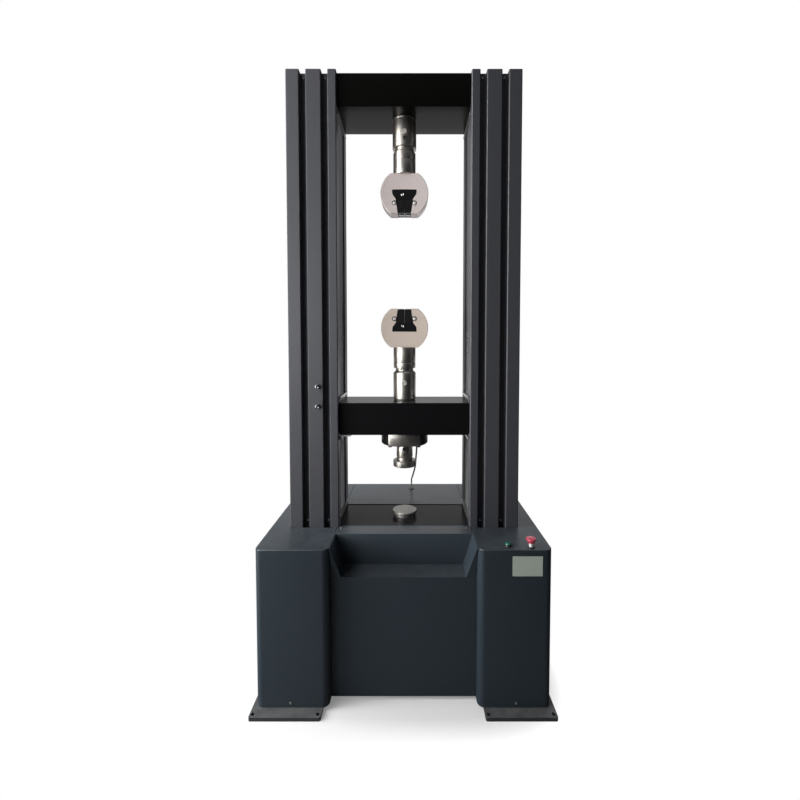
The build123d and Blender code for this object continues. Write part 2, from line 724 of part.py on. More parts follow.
def coupling(start_z, direction, sizes):
    """A turned adapter: a cylinder, a neck and a second cylinder, stacked from start_z."""
    body_r, body, neck_r, neck, ring_r, ring = sizes
    heights = [start_z, start_z + direction * body, start_z + direction * (body + neck)]
    end_z = heights[2] + direction * ring
    with BuildPart() as adapter:
        with BuildSketch(Plane.XZ.offset(-axis_y)):
            with BuildLine():
                Polyline(
                    (0, heights[0]),
                    (body_r, heights[0]),
                    (body_r, heights[1] - direction * neck_chamfer),
                    (body_r - neck_chamfer, heights[1]),
                    (neck_r, heights[1]),
                    (neck_r, heights[2]),
                    (ring_r - neck_chamfer, heights[2]),
                    (ring_r, heights[2] + direction * neck_chamfer),
                    (ring_r, end_z),
                    (0, end_z),
                    close=True,
                )
            make_face()
        revolve(axis=Axis((0, axis_y, 0), (0, 0, 1)))
    return adapter, end_z


upper_coupling, upper_grip_z = coupling(
    beam_bottom_z, -1,
    (upper_coupling_r, upper_coupling_length, upper_neck_r, upper_neck, upper_ring_r, upper_ring))
with upper_coupling:
    cross_bar(0, beam_bottom_z - upper_coupling_length / 2, cross_pin_r,
              axis_y - upper_coupling_r - cross_pin_stand, axis_y + upper_coupling_r + cross_pin_stand)
write(upper_coupling, "upper_coupling")
lower_coupling, lower_grip_z = coupling(
    crosshead_top_z, 1,
    (lower_coupling_r, lower_coupling_length, lower_neck_r, lower_neck, lower_ring_r, lower_ring))
with lower_coupling:
    cross_bar(0, crosshead_top_z + lower_pin_rise, cross_pin_r,
              axis_y - lower_coupling_r - cross_pin_stand, axis_y + lower_coupling_r + cross_pin_stand)
write(lower_coupling, "lower_coupling")

# Wedge grips: round bodies lying on their sides, flat at the coupling and at the mouth
grip_r = 106
grip_flat = 87
grip_depth = 76
grip_edge = 2
wedge_angle = 8.1
mouth_half = 30
window_rise = 16
window_corner_r = 4
shoulder_drop = 24
head_drop = 5
head_low_half = 53
head_half = 55.5
ear_x = 45
ear_drop = 42
ear_r = 11
guide_pin_r = 4
jaw_gap = 0.15
jaw_half_gap = 0.5
jaw_inset = 3
jaw_top_drop = 30
jaw_mouth_inset = 2
jaw_corner = 4
wedge_slope = tan(radians(wedge_angle))


def window_half(height):
    """Half the wedge window's width at a height above the grip's middle, mouth down."""
    return mouth_half + (height + grip_flat) * wedge_slope


def window_line(foot, gap):
    """The window's outline from a height up to its wide head, drawn a gap inside its walls."""
    right = [
        (window_half(foot) - gap, foot),
        (window_half(-shoulder_drop) - gap, max(foot, -shoulder_drop)),
        (head_low_half - gap, -head_drop),
        (head_half - gap, window_rise - gap),
    ]
    return [point for i, point in enumerate(right) if point not in right[:i]]


def grip_plane(middle_z, direction):
    """The drawing plane of a grip: x to the right, y away from its mouth."""
    return Plane((0, axis_y, middle_z), x_dir=(direction, 0, 0), z_dir=(0, -1, 0))


def make_grip(middle_z, direction):
    """The grip's body, cut by the wedge window and its ears, with a keeper plate over each jaw end."""
    with BuildPart() as body:
        with BuildSketch(grip_plane(middle_z, direction)):
            Circle(grip_r)
            Rectangle(2 * grip_r, 2 * grip_flat, mode=Mode.INTERSECT)
        extrude(amount=grip_depth / 2, both=True)
        chamfer(body.faces().filter_by(Axis.Y).edges(), grip_edge)
        with BuildSketch(grip_plane(middle_z, direction)) as window:
            with BuildLine():
                wall = window_line(-grip_flat - overrun, 0)
                Polyline(*wall, *[(-x, z) for x, z in reversed(wall)], close=True)
            make_face()
            fillet(window.vertices().group_by(Axis.Y)[-1], window_corner_r)
            with Locations((-ear_x, -ear_drop), (ear_x, -ear_drop)):
                Circle(ear_r)
        extrude(amount=grip_depth, both=True, mode=Mode.SUBTRACT)
        for face in (-1, 1):
            with BuildSketch(grip_plane(middle_z, direction).offset(face * grip_depth / 2)) as keeper:
                with BuildLine():
                    wall = window_line(-shoulder_drop, jaw_gap)
                    Polyline(*wall, *[(-x, z) for x, z in reversed(wall)], close=True)
                make_face()
                fillet(keeper.vertices().group_by(Axis.Y)[-1], window_corner_r)
            extrude(amount=-face * (jaw_inset - seat_gap))
    return body


def make_pins(middle_z, direction):
    """Two guide pins, one against the outer wall of each ear."""
    pin_x = ear_x + ear_r - guide_pin_r - seat_gap
    with BuildPart() as pins:
        with BuildSketch(grip_plane(middle_z, direction)):
            with Locations((-pin_x, -ear_drop), (pin_x, -ear_drop)):
                Circle(guide_pin_r)
        extrude(amount=grip_depth / 2 - grip_edge, both=True)
    return pins


def make_jaw(middle_z, direction, side):
    """One wedge jaw: its outer face follows the window's slope, its inner face is upright."""
    top = window_rise - jaw_top_drop
    foot = jaw_mouth_inset - grip_flat
    with BuildPart() as jaw:
        with BuildSketch(grip_plane(middle_z, direction)):
            with BuildLine():
                Polyline(
                    (side * jaw_half_gap, foot),
                    (side * jaw_half_gap, top),
                    (side * (window_half(top) - jaw_gap - jaw_corner), top),
                    (side * (window_half(top - jaw_corner) - jaw_gap), top - jaw_corner),
                    (side * (window_half(foot) - jaw_gap), foot),
                    close=True,
                )
            make_face()
        extrude(amount=grip_depth / 2 - jaw_inset, both=True)
    return jaw


for level, middle_z, direction in (("upper", upper_grip_z - grip_flat, 1), ("lower", lower_grip_z + grip_flat, -1)):
    write(make_grip(middle_z, direction), f"{level}_grip")
    write(make_pins(middle_z, direction), f"{level}_grip_pins")
    for side, hand in ((-1, "left"), (1, "right")):
        write(make_jaw(middle_z, direction, side * direction), f"{level}_jaw_{hand}")

# Load cell: a low disc with a chamfered rim and a stepped hub
cell_r = 106.5
cell_height = 47
cell_chamfer = 8
hub_r = 72
hub_height = 20
stem_r = 37
stem_length = 70
platen_r = 52
platen_height = 28
platen_edge = 2
cell_low_z = crosshead_bottom_z - cell_height
hub_low_z = cell_low_z - hub_height
stem_low_z = hub_low_z - stem_length
with BuildPart() as load_cell:
    round_bar(0, axis_y, cell_r, cell_low_z, crosshead_bottom_z)
    chamfer(load_cell.edges().filter_by(GeomType.CIRCLE).sort_by(Axis.Z)[0], cell_chamfer)
    round_bar(0, axis_y, hub_r, hub_low_z, cell_low_z)
write(load_cell, "load_cell")

with BuildPart() as load_stem:
    round_bar(0, axis_y, stem_r, stem_low_z, hub_low_z)
write(load_stem, "load_stem")

with BuildPart() as upper_platen:
    round_bar(0, axis_y, platen_r, stem_low_z - platen_height, stem_low_z)
    chamfer(upper_platen.edges().filter_by(GeomType.CIRCLE).sort_by(Axis.Z)[0], platen_edge)
write(upper_platen, "upper_platen")

# Lower platen: a disc on a slightly narrower foot, standing on the worktable
lower_platen_r = 55.5
lower_platen_disc = 14
platen_foot_r = 46
platen_foot = 12
with BuildPart() as lower_platen:
    round_bar(0, axis_y, lower_platen_r, base_top_z + platen_foot,
              base_top_z + platen_foot + lower_platen_disc)
    chamfer(lower_platen.edges().filter_by(GeomType.CIRCLE).sort_by(Axis.Z)[-1], platen_edge)
    round_bar(0, axis_y, platen_foot_r, base_top_z, base_top_z + platen_foot)
write(lower_platen, "lower_platen")

# Start button and emergency stop
collars_y = front_y + button_setback
estop_y = front_y + estop_setback
with BuildPart() as button_collars:
    for x, y, radius, height in ((start_x, collars_y, start_collar_r, start_collar),
                                 (estop_x, estop_y, estop_collar_r, estop_collar)):
        round_bar(x, y, radius, base_top_z, base_top_z + height)
        round_bar(x, y, button_body_r, base_top_z - button_body, base_top_z)
    round_bar(start_x, collars_y, start_r + seat_gap, base_top_z - button_body + sheet,
              base_top_z + start_collar, Mode.SUBTRACT)
    round_bar(estop_x, estop_y, estop_stem_r + seat_gap, base_top_z - button_body + sheet,
              base_top_z + estop_collar, Mode.SUBTRACT)
write(button_collars, "button_collars")

button_sink = 20
with BuildPart() as start_button:
    round_bar(start_x, collars_y, start_r, base_top_z - button_sink, base_top_z + start_collar + start_dome)
    chamfer(start_button.edges().filter_by(GeomType.CIRCLE).sort_by(Axis.Z)[-1], start_edge)
write(start_button, "start_button")

head_low_z = base_top_z + estop_stem_length
with BuildPart() as estop_stem:
    round_bar(estop_x, estop_y, estop_stem_r, base_top_z - button_sink, head_low_z + estop_head_height / 2)
write(estop_stem, "estop_stem")

estop_neck_r = 10
estop_cone = 13
estop_rim = 3
crown_shares = ((1, 0), (0.85, 0.7), (0.45, 1))
with BuildPart() as estop_head:
    with BuildSketch(Plane((estop_x, estop_y, head_low_z), x_dir=(1, 0, 0), z_dir=(0, -1, 0))):
        with BuildLine():
            rim_top = estop_cone + estop_rim
            crown = [(across * estop_head_r, rim_top + up * (estop_head_height - rim_top))
                     for across, up in crown_shares]
            Polyline((0, estop_head_height), (0, 0), (estop_neck_r, 0), (estop_head_r, estop_cone),
                     *crown, close=True)
        make_face()
    revolve(axis=Axis((estop_x, estop_y, 0), (0, 0, 1)))
    round_bar(estop_x, estop_y, estop_stem_r + running_gap, head_low_z,
              head_low_z + estop_head_height / 2, Mode.SUBTRACT)
write(estop_head, "estop_head")

# Cover screws: heads on the towers, beside the columns and in the slots
screw_head_r = 5
screw_head = 3
screw_sides = 8
slot_screw_inset = 20
tower_screw_inset = 136
tower_screw_x = base_width / 2 - tower_screw_inset
tower_screw_z = 33
corner_screw_gap = 13
corner_screw_x = column_inner_x - corner_screw_gap
corner_screw_setback = 192
slot_floor_y = column_front_y + slot_depth
slot_screws = [(side * x, z) for side in (-1, 1) for x in (outer_slot_x, inner_slot_x)
               for z in (base_top_z + slot_screw_inset, machine_height - slot_screw_inset)]
with BuildPart() as cover_screws:
    with BuildSketch(Plane.XZ.offset(-front_y)):
        with Locations((-tower_screw_x, tower_screw_z), (tower_screw_x, tower_screw_z)):
            RegularPolygon(screw_head_r, screw_sides)
    with BuildSketch(Plane.XZ.offset(-slot_floor_y)):
        with Locations(*slot_screws):
            RegularPolygon(screw_head_r, screw_sides)
    with BuildSketch(Plane.XY.offset(base_top_z)):
        with Locations(*[(side * corner_screw_x, front_y + corner_screw_setback) for side in (-1, 1)]):
            RegularPolygon(screw_head_r, screw_sides)
    extrude(amount=screw_head)
write(cover_screws, "cover_screws")

# Load cell cable: out of a gland under the cell, down and back to a grommet in the base
gland_x = 57
gland_back = 63
gland_r = 8
gland_length = 18
gland_low_z = cell_low_z - gland_length
with BuildPart() as cable_gland:
    round_bar(gland_x, axis_y + gland_back, gland_r, gland_low_z, cell_low_z)
write(cable_gland, "cable_gland")

with BuildPart() as cable_grommet:
    round_bar(cable_x, cable_y, grommet_flange_r, base_top_z, base_top_z + grommet_flange)
    round_bar(cable_x, cable_y, grommet_r, base_top_z - top_lip / 2, base_top_z)
    round_bar(cable_x, cable_y, cable_r + seat_gap, bed_top_z,
              base_top_z + grommet_flange, Mode.SUBTRACT)
write(cable_grommet, "cable_grommet")

cable_points = [
    (57, 16, 972),
    (57, 16, 934),
    (53, 28, 886),
    (50, 45, 838),
    (43, 74, 804),
    (40, 115, 779),
    (37, 156, 756),
    (34, 201, 734),
    (32, 246, 713),
    (32, 285, 696),
    (32, 305, 664),
    (32, 305, 618),
]
bend_share = 0.45
cable_path = [Vector(*point) for point in cable_points]
cable_radii = []
for before, corner, after in zip(cable_path, cable_path[1:], cable_path[2:]):
    shorter = min((corner - before).length, (after - corner).length)
    half_turn = radians((corner - before).get_angle(after - corner)) / 2
    cable_radii.append(bend_share * shorter / tan(half_turn))
print("cable bend radii", [round(radius) for radius in cable_radii])
with BuildPart() as load_cell_cable:
    with BuildLine() as cable_line:
        FilletPolyline(*cable_path, radius=cable_radii)
    with BuildSketch(Plane(cable_line.line @ 0, z_dir=cable_line.line % 0)):
        Circle(cable_r)
    sweep()
write(load_cell_cable, "load_cell_cable")
print("cable volume", load_cell_cable.part.volume, "from its length",
      cable_line.wires()[0].length * Circle(cable_r, mode=Mode.PRIVATE).area)
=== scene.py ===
"""Floor-standing universal testing machine: finishes, fine pieces, camera and light.

Metres, +Z up, the front faces -Y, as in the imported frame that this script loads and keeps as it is.
"""
import json
import math

import bmesh
import bpy
from mathutils import Matrix, Vector


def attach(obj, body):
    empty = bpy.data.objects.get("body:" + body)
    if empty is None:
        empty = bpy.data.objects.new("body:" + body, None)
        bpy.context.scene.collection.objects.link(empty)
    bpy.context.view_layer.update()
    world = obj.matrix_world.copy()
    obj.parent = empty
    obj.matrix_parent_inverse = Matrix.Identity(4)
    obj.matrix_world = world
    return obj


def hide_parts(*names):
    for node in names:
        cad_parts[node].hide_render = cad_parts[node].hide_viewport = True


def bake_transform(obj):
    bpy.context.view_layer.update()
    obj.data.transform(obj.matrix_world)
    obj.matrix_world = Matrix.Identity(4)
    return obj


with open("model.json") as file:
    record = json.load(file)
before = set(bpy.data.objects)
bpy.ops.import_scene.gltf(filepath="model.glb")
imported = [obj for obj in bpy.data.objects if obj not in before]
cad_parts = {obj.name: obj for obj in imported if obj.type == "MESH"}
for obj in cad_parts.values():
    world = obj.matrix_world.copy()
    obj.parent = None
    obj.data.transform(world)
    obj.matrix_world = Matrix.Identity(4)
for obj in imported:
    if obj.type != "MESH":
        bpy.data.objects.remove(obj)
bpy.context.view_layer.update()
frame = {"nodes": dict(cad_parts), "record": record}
scene = bpy.context.scene
scene.view_settings.view_transform = "Standard"
axis_y = -0.047
base_top = 0.640
hair = 0.0000004


# Camera: stands a little right of the machine's middle, at a person's eye height, tilted down two degrees.
# Its place and lens come from a fit to the photograph's edges.
camera_data = bpy.data.cameras.new("camera")
camera_data.sensor_width = 36
camera_data.lens = 18.665
camera_data.shift_x = -0.0137
camera_data.shift_y = -0.0459
camera = bpy.data.objects.new("camera", camera_data)
camera.location = (0.02927, -1.94596, 1.42056)
camera_tilt = 0.0403
camera.rotation_euler = (math.pi / 2 - camera_tilt, 0, 0)
scene.collection.objects.link(camera)
scene.camera = camera


# Studio: a white paper floor and backdrop, softboxes and a window at the left, and one softbox behind at the right.
# The left side is brighter than the right; reflections see a dim room, its bright left wall and the backdrop.
def add(tree, kind, sockets=None, **settings):
    """Add a node, set it up, and fill its sockets with numbers or with other nodes' outputs."""
    made = tree.nodes.new("ShaderNode" + kind)
    for setting, value in settings.items():
        setattr(made, setting, value)
    for socket, value in (sockets or {}).items():
        if isinstance(value, bpy.types.NodeSocket):
            tree.links.new(value, made.inputs[socket])
        else:
            made.inputs[socket].default_value = value
    return made


def reckon(tree, operation, *values):
    """A Math node's output, from numbers or sockets."""
    return add(tree, "Math", dict(enumerate(values)), operation=operation).outputs["Value"]


def remap(tree, value, low, high, to_low, to_high):
    """A value stretched from one span to another and held inside it."""
    return add(tree, "MapRange", {"Value": value, "From Min": low, "From Max": high,
                                  "To Min": to_low, "To Max": to_high}).outputs["Result"]


white = (1, 1, 1, 1)
matt_fill = 0.10
world = bpy.data.worlds.new("studio")
scene.world = world
world.use_nodes = True
sky = world.node_tree
sky.nodes.clear()
ray = add(sky, "LightPath").outputs
toward = add(sky, "SeparateXYZ", {0: add(sky, "TexCoord").outputs["Generated"]}).outputs
paper_wall = reckon(sky, "MULTIPLY", remap(sky, toward["Y"], 0.82, 0.93, 0.0, 1.0),
                    remap(sky, toward["Z"], 0.05, 0.30, 0.35, 0.95))
left_wall = reckon(sky, "MULTIPLY", remap(sky, toward["X"], -0.20, -0.62, 0.0, 0.90),
                   remap(sky, toward["Y"], 0.20, -0.15, 0.0, 1.0))
ceiling = remap(sky, toward["Z"], 0.4, 0.95, 0.02, 0.45)
mirrored = reckon(sky, "ADD", left_wall, ceiling)
fill = reckon(sky, "MULTIPLY_ADD", ray["Is Glossy Ray"], reckon(sky, "SUBTRACT", mirrored, matt_fill), matt_fill)
room = add(sky, "Background", {"Color": (0.92, 0.96, 1.0, 1), "Strength": fill})
paper = add(sky, "Background", {"Color": white, "Strength": 1.0})
seen = reckon(sky, "MAXIMUM", reckon(sky, "MAXIMUM", ray["Is Camera Ray"], ray["Is Transmission Ray"]),
              reckon(sky, "MULTIPLY", ray["Is Glossy Ray"], paper_wall))
around = add(sky, "MixShader", {0: seen, 1: room.outputs[0], 2: paper.outputs[0]})
add(sky, "OutputWorld", {"Surface": around.outputs[0]})

floor_mesh = bpy.data.meshes.new("floor")
form = bmesh.new()
bmesh.ops.create_circle(form, cap_ends=True, segments=64, radius=30)
form.to_mesh(floor_mesh)
form.free()
floor = bpy.data.objects.new("floor", floor_mesh)
scene.collection.objects.link(floor)
floor_paper = bpy.data.materials.new("floor_paper")
floor_paper.use_nodes = True
tree = floor_paper.node_tree
tree.nodes.clear()
ray = add(tree, "LightPath").outputs
bounced = reckon(tree, "MULTIPLY_ADD", ray["Is Diffuse Ray"], 0.36, 0.04)
pale = reckon(tree, "MULTIPLY_ADD", ray["Is Camera Ray"], 0.38, bounced)
matt = add(tree, "BsdfDiffuse", {"Color": pale})
glow = add(tree, "Emission", {"Color": white, "Strength": reckon(tree, "MULTIPLY", ray["Is Camera Ray"], 0.20)})
near = add(tree, "AddShader", {0: matt.outputs[0], 1: glow.outputs[0]})
far = add(tree, "Emission", {"Color": white, "Strength": 1.0})
spot = add(tree, "TexCoord").outputs["Object"]
squeezed = add(tree, "VectorMath", {0: spot, 1: (1.62, 2.10, 0.0)}, operation="MULTIPLY").outputs[0]
powers = add(tree, "VectorMath", {0: squeezed, 1: (4.0, 4.0, 4.0)}, operation="POWER").outputs[0]
fourth = add(tree, "SeparateXYZ", {0: powers}).outputs
reach = reckon(tree, "ADD", fourth["X"], fourth["Y"])
behind = remap(tree, add(tree, "SeparateXYZ", {0: spot}).outputs["Y"], 3.3, 4.2, 0.0, 0.95)
looked_at = reckon(tree, "MAXIMUM", ray["Is Camera Ray"], reckon(tree, "MULTIPLY", ray["Is Glossy Ray"], behind))
faded = reckon(tree, "MULTIPLY", looked_at, remap(tree, reach, 0.60, 1.35, 0.0, 1.0))
whole = add(tree, "MixShader", {0: faded, 1: near.outputs[0], 2: far.outputs[0]})
add(tree, "OutputMaterial", {"Surface": whole.outputs[0]})
floor_mesh.materials.append(floor_paper)

warm, cool, cold = (1.0, 0.98, 0.95), (0.97, 0.98, 1.0), (0.95, 0.97, 1.0)
for name, place, aim, size, power, tint, shines in (
    ("softbox_left", (-2.00, -1.05, 1.95), (0, -0.1, 1.5), (0.9, 3.8), 98, warm, True),
    ("window_side", (-2.7, -0.45, 1.20), (0.2, -0.3, 0.7), (1.2, 0.9), 115, cool, False),
    ("softbox_front", (-1.9, -2.5, 1.7), (0, -0.1, 1.2), (0.7, 1.4), 32, cool, True),
    ("softbox_rear", (2.3, 2.2, 2.0), (0, 0.1, 1.1), (2.0, 2.4), 110, cool, False),
    ("softbox_top", (-2.5, -0.4, 3.3), (0, 0, 0.6), (1.3, 1.5), 45, cold, True),
):
    lamp_data = bpy.data.lights.new(name, "AREA")
    lamp_data.shape = "RECTANGLE"
    lamp_data.size, lamp_data.size_y = size
    lamp_data.energy = power
    lamp_data.color = tint
    lamp = bpy.data.objects.new(name, lamp_data)
    lamp.location = place
    lamp.rotation_euler = (Vector(place) - Vector(aim)).to_track_quat("Z", "Y").to_euler()
    lamp.visible_camera = False
    lamp.visible_glossy = shines
    scene.collection.objects.link(lamp)


# Feet: two steel plates, painted grey, that lie on the floor under the cabinet and are anchored to it.
# Their paint is matt and lightly dusty; the same paint effect serves every painted piece.
def speckle(tree, where, scale, detail=3.0):
    """Soft noise from 0 to 1, with scale patches to a metre."""
    return add(tree, "TexNoise", {"Vector": where, "Scale": scale, "Detail": detail}).outputs[0]


def waver(tree, where, scale, detail):
    """Soft noise about zero, from -0.5 to 0.5."""
    return reckon(tree, "SUBTRACT", speckle(tree, where, scale, detail), 0.5)


def blend_colours(tree, share, first, second, way="MIX"):
    """Two colours mixed by a share."""
    mixer = add(tree, "Mix", {0: share, 6: first, 7: second}, data_type="RGBA", blend_type=way)
    return mixer.outputs[2]


def effect(name, numbers):
    """A new shader effect with a colour and number inputs: the group, its inputs, its outputs' ends and the place."""
    group = bpy.data.node_groups.new(name, "ShaderNodeTree")
    group.interface.new_socket("Colour", in_out="INPUT", socket_type="NodeSocketColor")
    for label, value in numbers.items():
        kind = "NodeSocketVector" if isinstance(value, tuple) else "NodeSocketFloat"
        group.interface.new_socket(label, in_out="INPUT", socket_type=kind).default_value = value
    for label, kind in (("Colour", "Color"), ("Roughness", "Float"), ("Height", "Float")):
        group.interface.new_socket(label, in_out="OUTPUT", socket_type="NodeSocket" + kind)
    given = group.nodes.new("NodeGroupInput")
    result = group.nodes.new("NodeGroupOutput")
    place = add(group, "TexCoord").outputs["Object"]
    return group, given.outputs, result.inputs, place


def put_out(skin, result, colour, roughness, height):
    """Join what an effect reckons to the colour, roughness and height that it puts out."""
    for label, value in (("Colour", colour), ("Roughness", roughness), ("Height", height)):
        skin.links.new(value, result[label])


# Paint: faint clouds in the colour, hand smears in the gloss, a fine orange peel, dust on upward faces.
paint_skin, given, result, place = effect("paint_skin", {
    "Cloud": 0.10, "Gloss": 0.4, "Smear": 0.10, "Dust": 0.05, "Peel": 420.0})
clouds = waver(paint_skin, place, 2.6, 5.0)
smears = waver(paint_skin, place, 9.0, 4.0)
shade = reckon(paint_skin, "MULTIPLY_ADD", clouds, given["Cloud"], 1.0)
toned = blend_colours(paint_skin, 1.0, given["Colour"], shade, "MULTIPLY")
upward = add(paint_skin, "SeparateXYZ", {0: add(paint_skin, "NewGeometry").outputs["Normal"]}).outputs["Z"]
lying = remap(paint_skin, upward, 0.55, 0.98, 0.0, 1.0)
drifts = remap(paint_skin, speckle(paint_skin, place, 34.0, 6.0), 0.35, 0.7, 0.3, 1.0)
dusty = reckon(paint_skin, "MULTIPLY", reckon(paint_skin, "MULTIPLY", lying, drifts), given["Dust"])
worn = reckon(paint_skin, "MULTIPLY_ADD", smears, given["Smear"], given["Gloss"])
put_out(paint_skin, result, blend_colours(paint_skin, dusty, toned, (0.42, 0.40, 0.38, 1)),
        reckon(paint_skin, "MULTIPLY_ADD", dusty, 0.5, worn), speckle(paint_skin, place, given["Peel"], 2.0))


def finish(name, skin, colour, numbers, rise, depth, shader):
    """A material: a Principled shader fed by a surface effect, with its bump's strength and depth."""
    material = bpy.data.materials.new(name)
    material.use_nodes = True
    tree = material.node_tree
    surface = tree.nodes["Principled BSDF"]
    for socket, value in shader.items():
        surface.inputs[socket].default_value = value
    layer = tree.nodes.new("ShaderNodeGroup")
    layer.node_tree = skin
    for socket, value in {"Colour": (*colour, 1), **numbers}.items():
        layer.inputs[socket].default_value = value
    tree.links.new(layer.outputs["Colour"], surface.inputs["Base Color"])
    tree.links.new(layer.outputs["Roughness"], surface.inputs["Roughness"])
    relief = add(tree, "Bump", {"Strength": rise, "Distance": depth, "Height": layer.outputs["Height"]})
    tree.links.new(relief.outputs["Normal"], surface.inputs["Normal"])
    return material


def finisher(skin, rise, depth, usual):
    """A function that makes materials of one surface effect, with its bump and its usual shader numbers."""
    def made(name, colour, shader=None, **numbers):
        return finish(name, skin, colour, numbers, rise, depth, shader or usual)
    return made


painted = finisher(paint_skin, 0.12, 0.0004, {"IOR": 1.5})


def dress(material, *nodes):
    """Give CAD nodes that keep their shape a better material."""
    for node in nodes:
        for slot in frame["nodes"][node].material_slots:
            slot.material = material


weld = 0.000002
body_of = {node: body for body, nodes in frame["record"]["behaviour"]["bodies"].items() for node in nodes}


def piece(name, form, materials, node):
    """Make a finished bmesh a piece that stands for a node, on its body, with the given materials."""
    mesh = bpy.data.meshes.new(name)
    form.to_mesh(mesh)
    form.free()
    for material in materials:
        mesh.materials.append(material)
    for face in mesh.polygons:
        face.use_smooth = True
    mesh.set_sharp_from_angle(angle=math.radians(35))
    made = bpy.data.objects.new(name, mesh)
    scene.collection.objects.link(made)
    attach(made, body_of[node])
    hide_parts(node)
    return made


def faced(node):
    """A copy of a CAD node's shape with its triangles joined into faces."""
    form = bmesh.new()
    form.from_mesh(frame["nodes"][node].data)
    bmesh.ops.remove_doubles(form, verts=form.verts, dist=weld)
    bmesh.ops.dissolve_limit(form, angle_limit=0.01, verts=form.verts, edges=form.edges)
    return form


def rounded(name, node, width, material):
    """A CAD node's shape with its edges rounded by a bevel."""
    made = piece(name, faced(node), (material,), node)
    edge = made.modifiers.new("rounded_edge", "BEVEL")
    edge.width = width
    edge.segments = 2
    edge.limit_method = "ANGLE"
    edge.angle_limit = math.radians(40)
    edge.harden_normals = True


foot_paint = painted("foot_paint", (0.023, 0.026, 0.028), Gloss=0.55, Dust=0.10, Cloud=0.2)
rounded("foot_plates", "feet", 0.0012, foot_paint)


# Bed: the base beam is an iron casting on two welded pedestals, primed and left as cast inside the cabinet.
# Its skin is lumpy and grainy where it isn't machined.
cast_skin, given, result, place = effect("cast_skin", {"Gloss": 0.6, "Patch": 0.3, "Grain": 260.0})
patches = waver(cast_skin, place, 5.0, 6.0)
grains = speckle(cast_skin, place, given["Grain"], 4.0)
shade = reckon(cast_skin, "MULTIPLY_ADD", patches, given["Patch"], 1.0)
lumps = reckon(cast_skin, "MULTIPLY", speckle(cast_skin, place, 60.0, 3.0), 2.0)
put_out(cast_skin, result, blend_colours(cast_skin, 1.0, given["Colour"], shade, "MULTIPLY"),
        reckon(cast_skin, "MULTIPLY_ADD", patches, 0.2, given["Gloss"]), reckon(cast_skin, "ADD", lumps, grains))
cast = finisher(cast_skin, 0.3, 0.0006, {})
primer_grey = (0.13, 0.14, 0.15)
dress(cast("grey_primer", primer_grey), "base_beam", "screw_bearings")
dress(painted("plate_primer", primer_grey, Gloss=0.5), "pedestals", "motor_bracket")


# Cabinet: sheet steel covers folded at their edges and screwed to the bed, in a satin dark blue-grey paint.
# The tray between the towers has sloping cheeks, and the rear cover has rows of vents.
cabinet_paint = painted("cabinet_paint", (0.0180, 0.0250, 0.0320), Gloss=0.32, Smear=0.10, Dust=0.05)
for name, node in (("left_cover", "base_cover_left"), ("right_cover", "base_cover_right"),
                   ("front_panel", "centre_panel"), ("tray", "specimen_tray"),
                   ("rear_top", "top_cover"), ("back_cover", "rear_cover")):
    rounded(name, node, 0.0013, cabinet_paint)


# Worktable: a thick steel plate between the towers, ground flat and blackened, with a soft mirror shine.
# It carries the lower platen and bears the whole load.
table_steel = painted("table_steel", (0.012, 0.012, 0.014), {"Specular IOR Level": 0.05},
                      Gloss=0.22, Smear=0.06, Dust=0.0, Peel=500.0)
rounded("table_plate", "worktable", 0.0015, table_steel)


# Label plate: a thin bare sheet glued to the right tower.
# It is brushed along its length under a pale grey-green lacquer.
brushed_skin, given, result, place = effect("brushed_skin", {
    "Stretch": (900.0, 20.0, 20.0), "Gloss": 0.3, "Streak": 0.2})
lines = add(brushed_skin, "VectorMath", {0: place, 1: given["Stretch"]}, operation="MULTIPLY").outputs[0]
streaks = speckle(brushed_skin, lines, 1.0, 2.0)
uneven = reckon(brushed_skin, "SUBTRACT", streaks, 0.5)
shade = reckon(brushed_skin, "MULTIPLY_ADD", uneven, given["Streak"], 1.0)
put_out(brushed_skin, result, blend_colours(brushed_skin, 1.0, given["Colour"], shade, "MULTIPLY"),
        reckon(brushed_skin, "MULTIPLY_ADD", uneven, given["Streak"], given["Gloss"]), streaks)
brushed = finisher(brushed_skin, 0.1, 0.0001, {"Metallic": 1.0})
label_lacquer = brushed("label_lacquer", (0.30, 0.34, 0.29), {"Metallic": 0.0, "Coat Weight": 0.3},
                        Stretch=(30.0, 30.0, 1400.0), Gloss=0.42, Streak=0.10)
rounded("bare_label", "label_plate", 0.0003, label_lacquer)


# Columns: ribbed aluminium fronts and folded rear covers round the screws, powder coated dark grey.
# Each front has three ribs and two deep slots.
column_paint = painted("column_paint", (0.038, 0.039, 0.045), Gloss=0.45, Smear=0.08, Peel=600.0)
for name, node in (("left_profile", "column_front_left"), ("right_profile", "column_front_right"),
                   ("left_column_back", "column_cover_left"), ("right_column_back", "column_cover_right")):
    rounded(name, node, 0.0012, column_paint)


# Cover screws: plated socket heads that hold the covers, low on the towers, on the base and in the column slots.
# Each head has a hexagon socket and a turned top edge.
turned_skin, given, result, place = effect("turned_skin", {
    "Centre": (0.0, 0.0, 0.0), "Turn": (0.0, 0.0, 0.0), "Rings": 1600.0, "Gloss": 0.25, "Marks": 0.3,
    "Smudge": 0.12})
about = add(turned_skin, "VectorMath", {0: place, 1: given["Centre"]}, operation="SUBTRACT").outputs[0]
laid = add(turned_skin, "Mapping", {"Vector": about, "Rotation": given["Turn"]}).outputs[0]
apart = add(turned_skin, "SeparateXYZ", {0: laid}).outputs
squares = reckon(turned_skin, "MULTIPLY_ADD", apart[0], apart[0], reckon(turned_skin, "MULTIPLY", apart[1], apart[1]))
width = reckon(turned_skin, "SQRT", squares)
tool_path = reckon(turned_skin, "ADD", width, apart[2])
rings = add(turned_skin, "TexNoise", {"W": tool_path, "Scale": given["Rings"], "Detail": 2.0},
            noise_dimensions="1D").outputs[0]
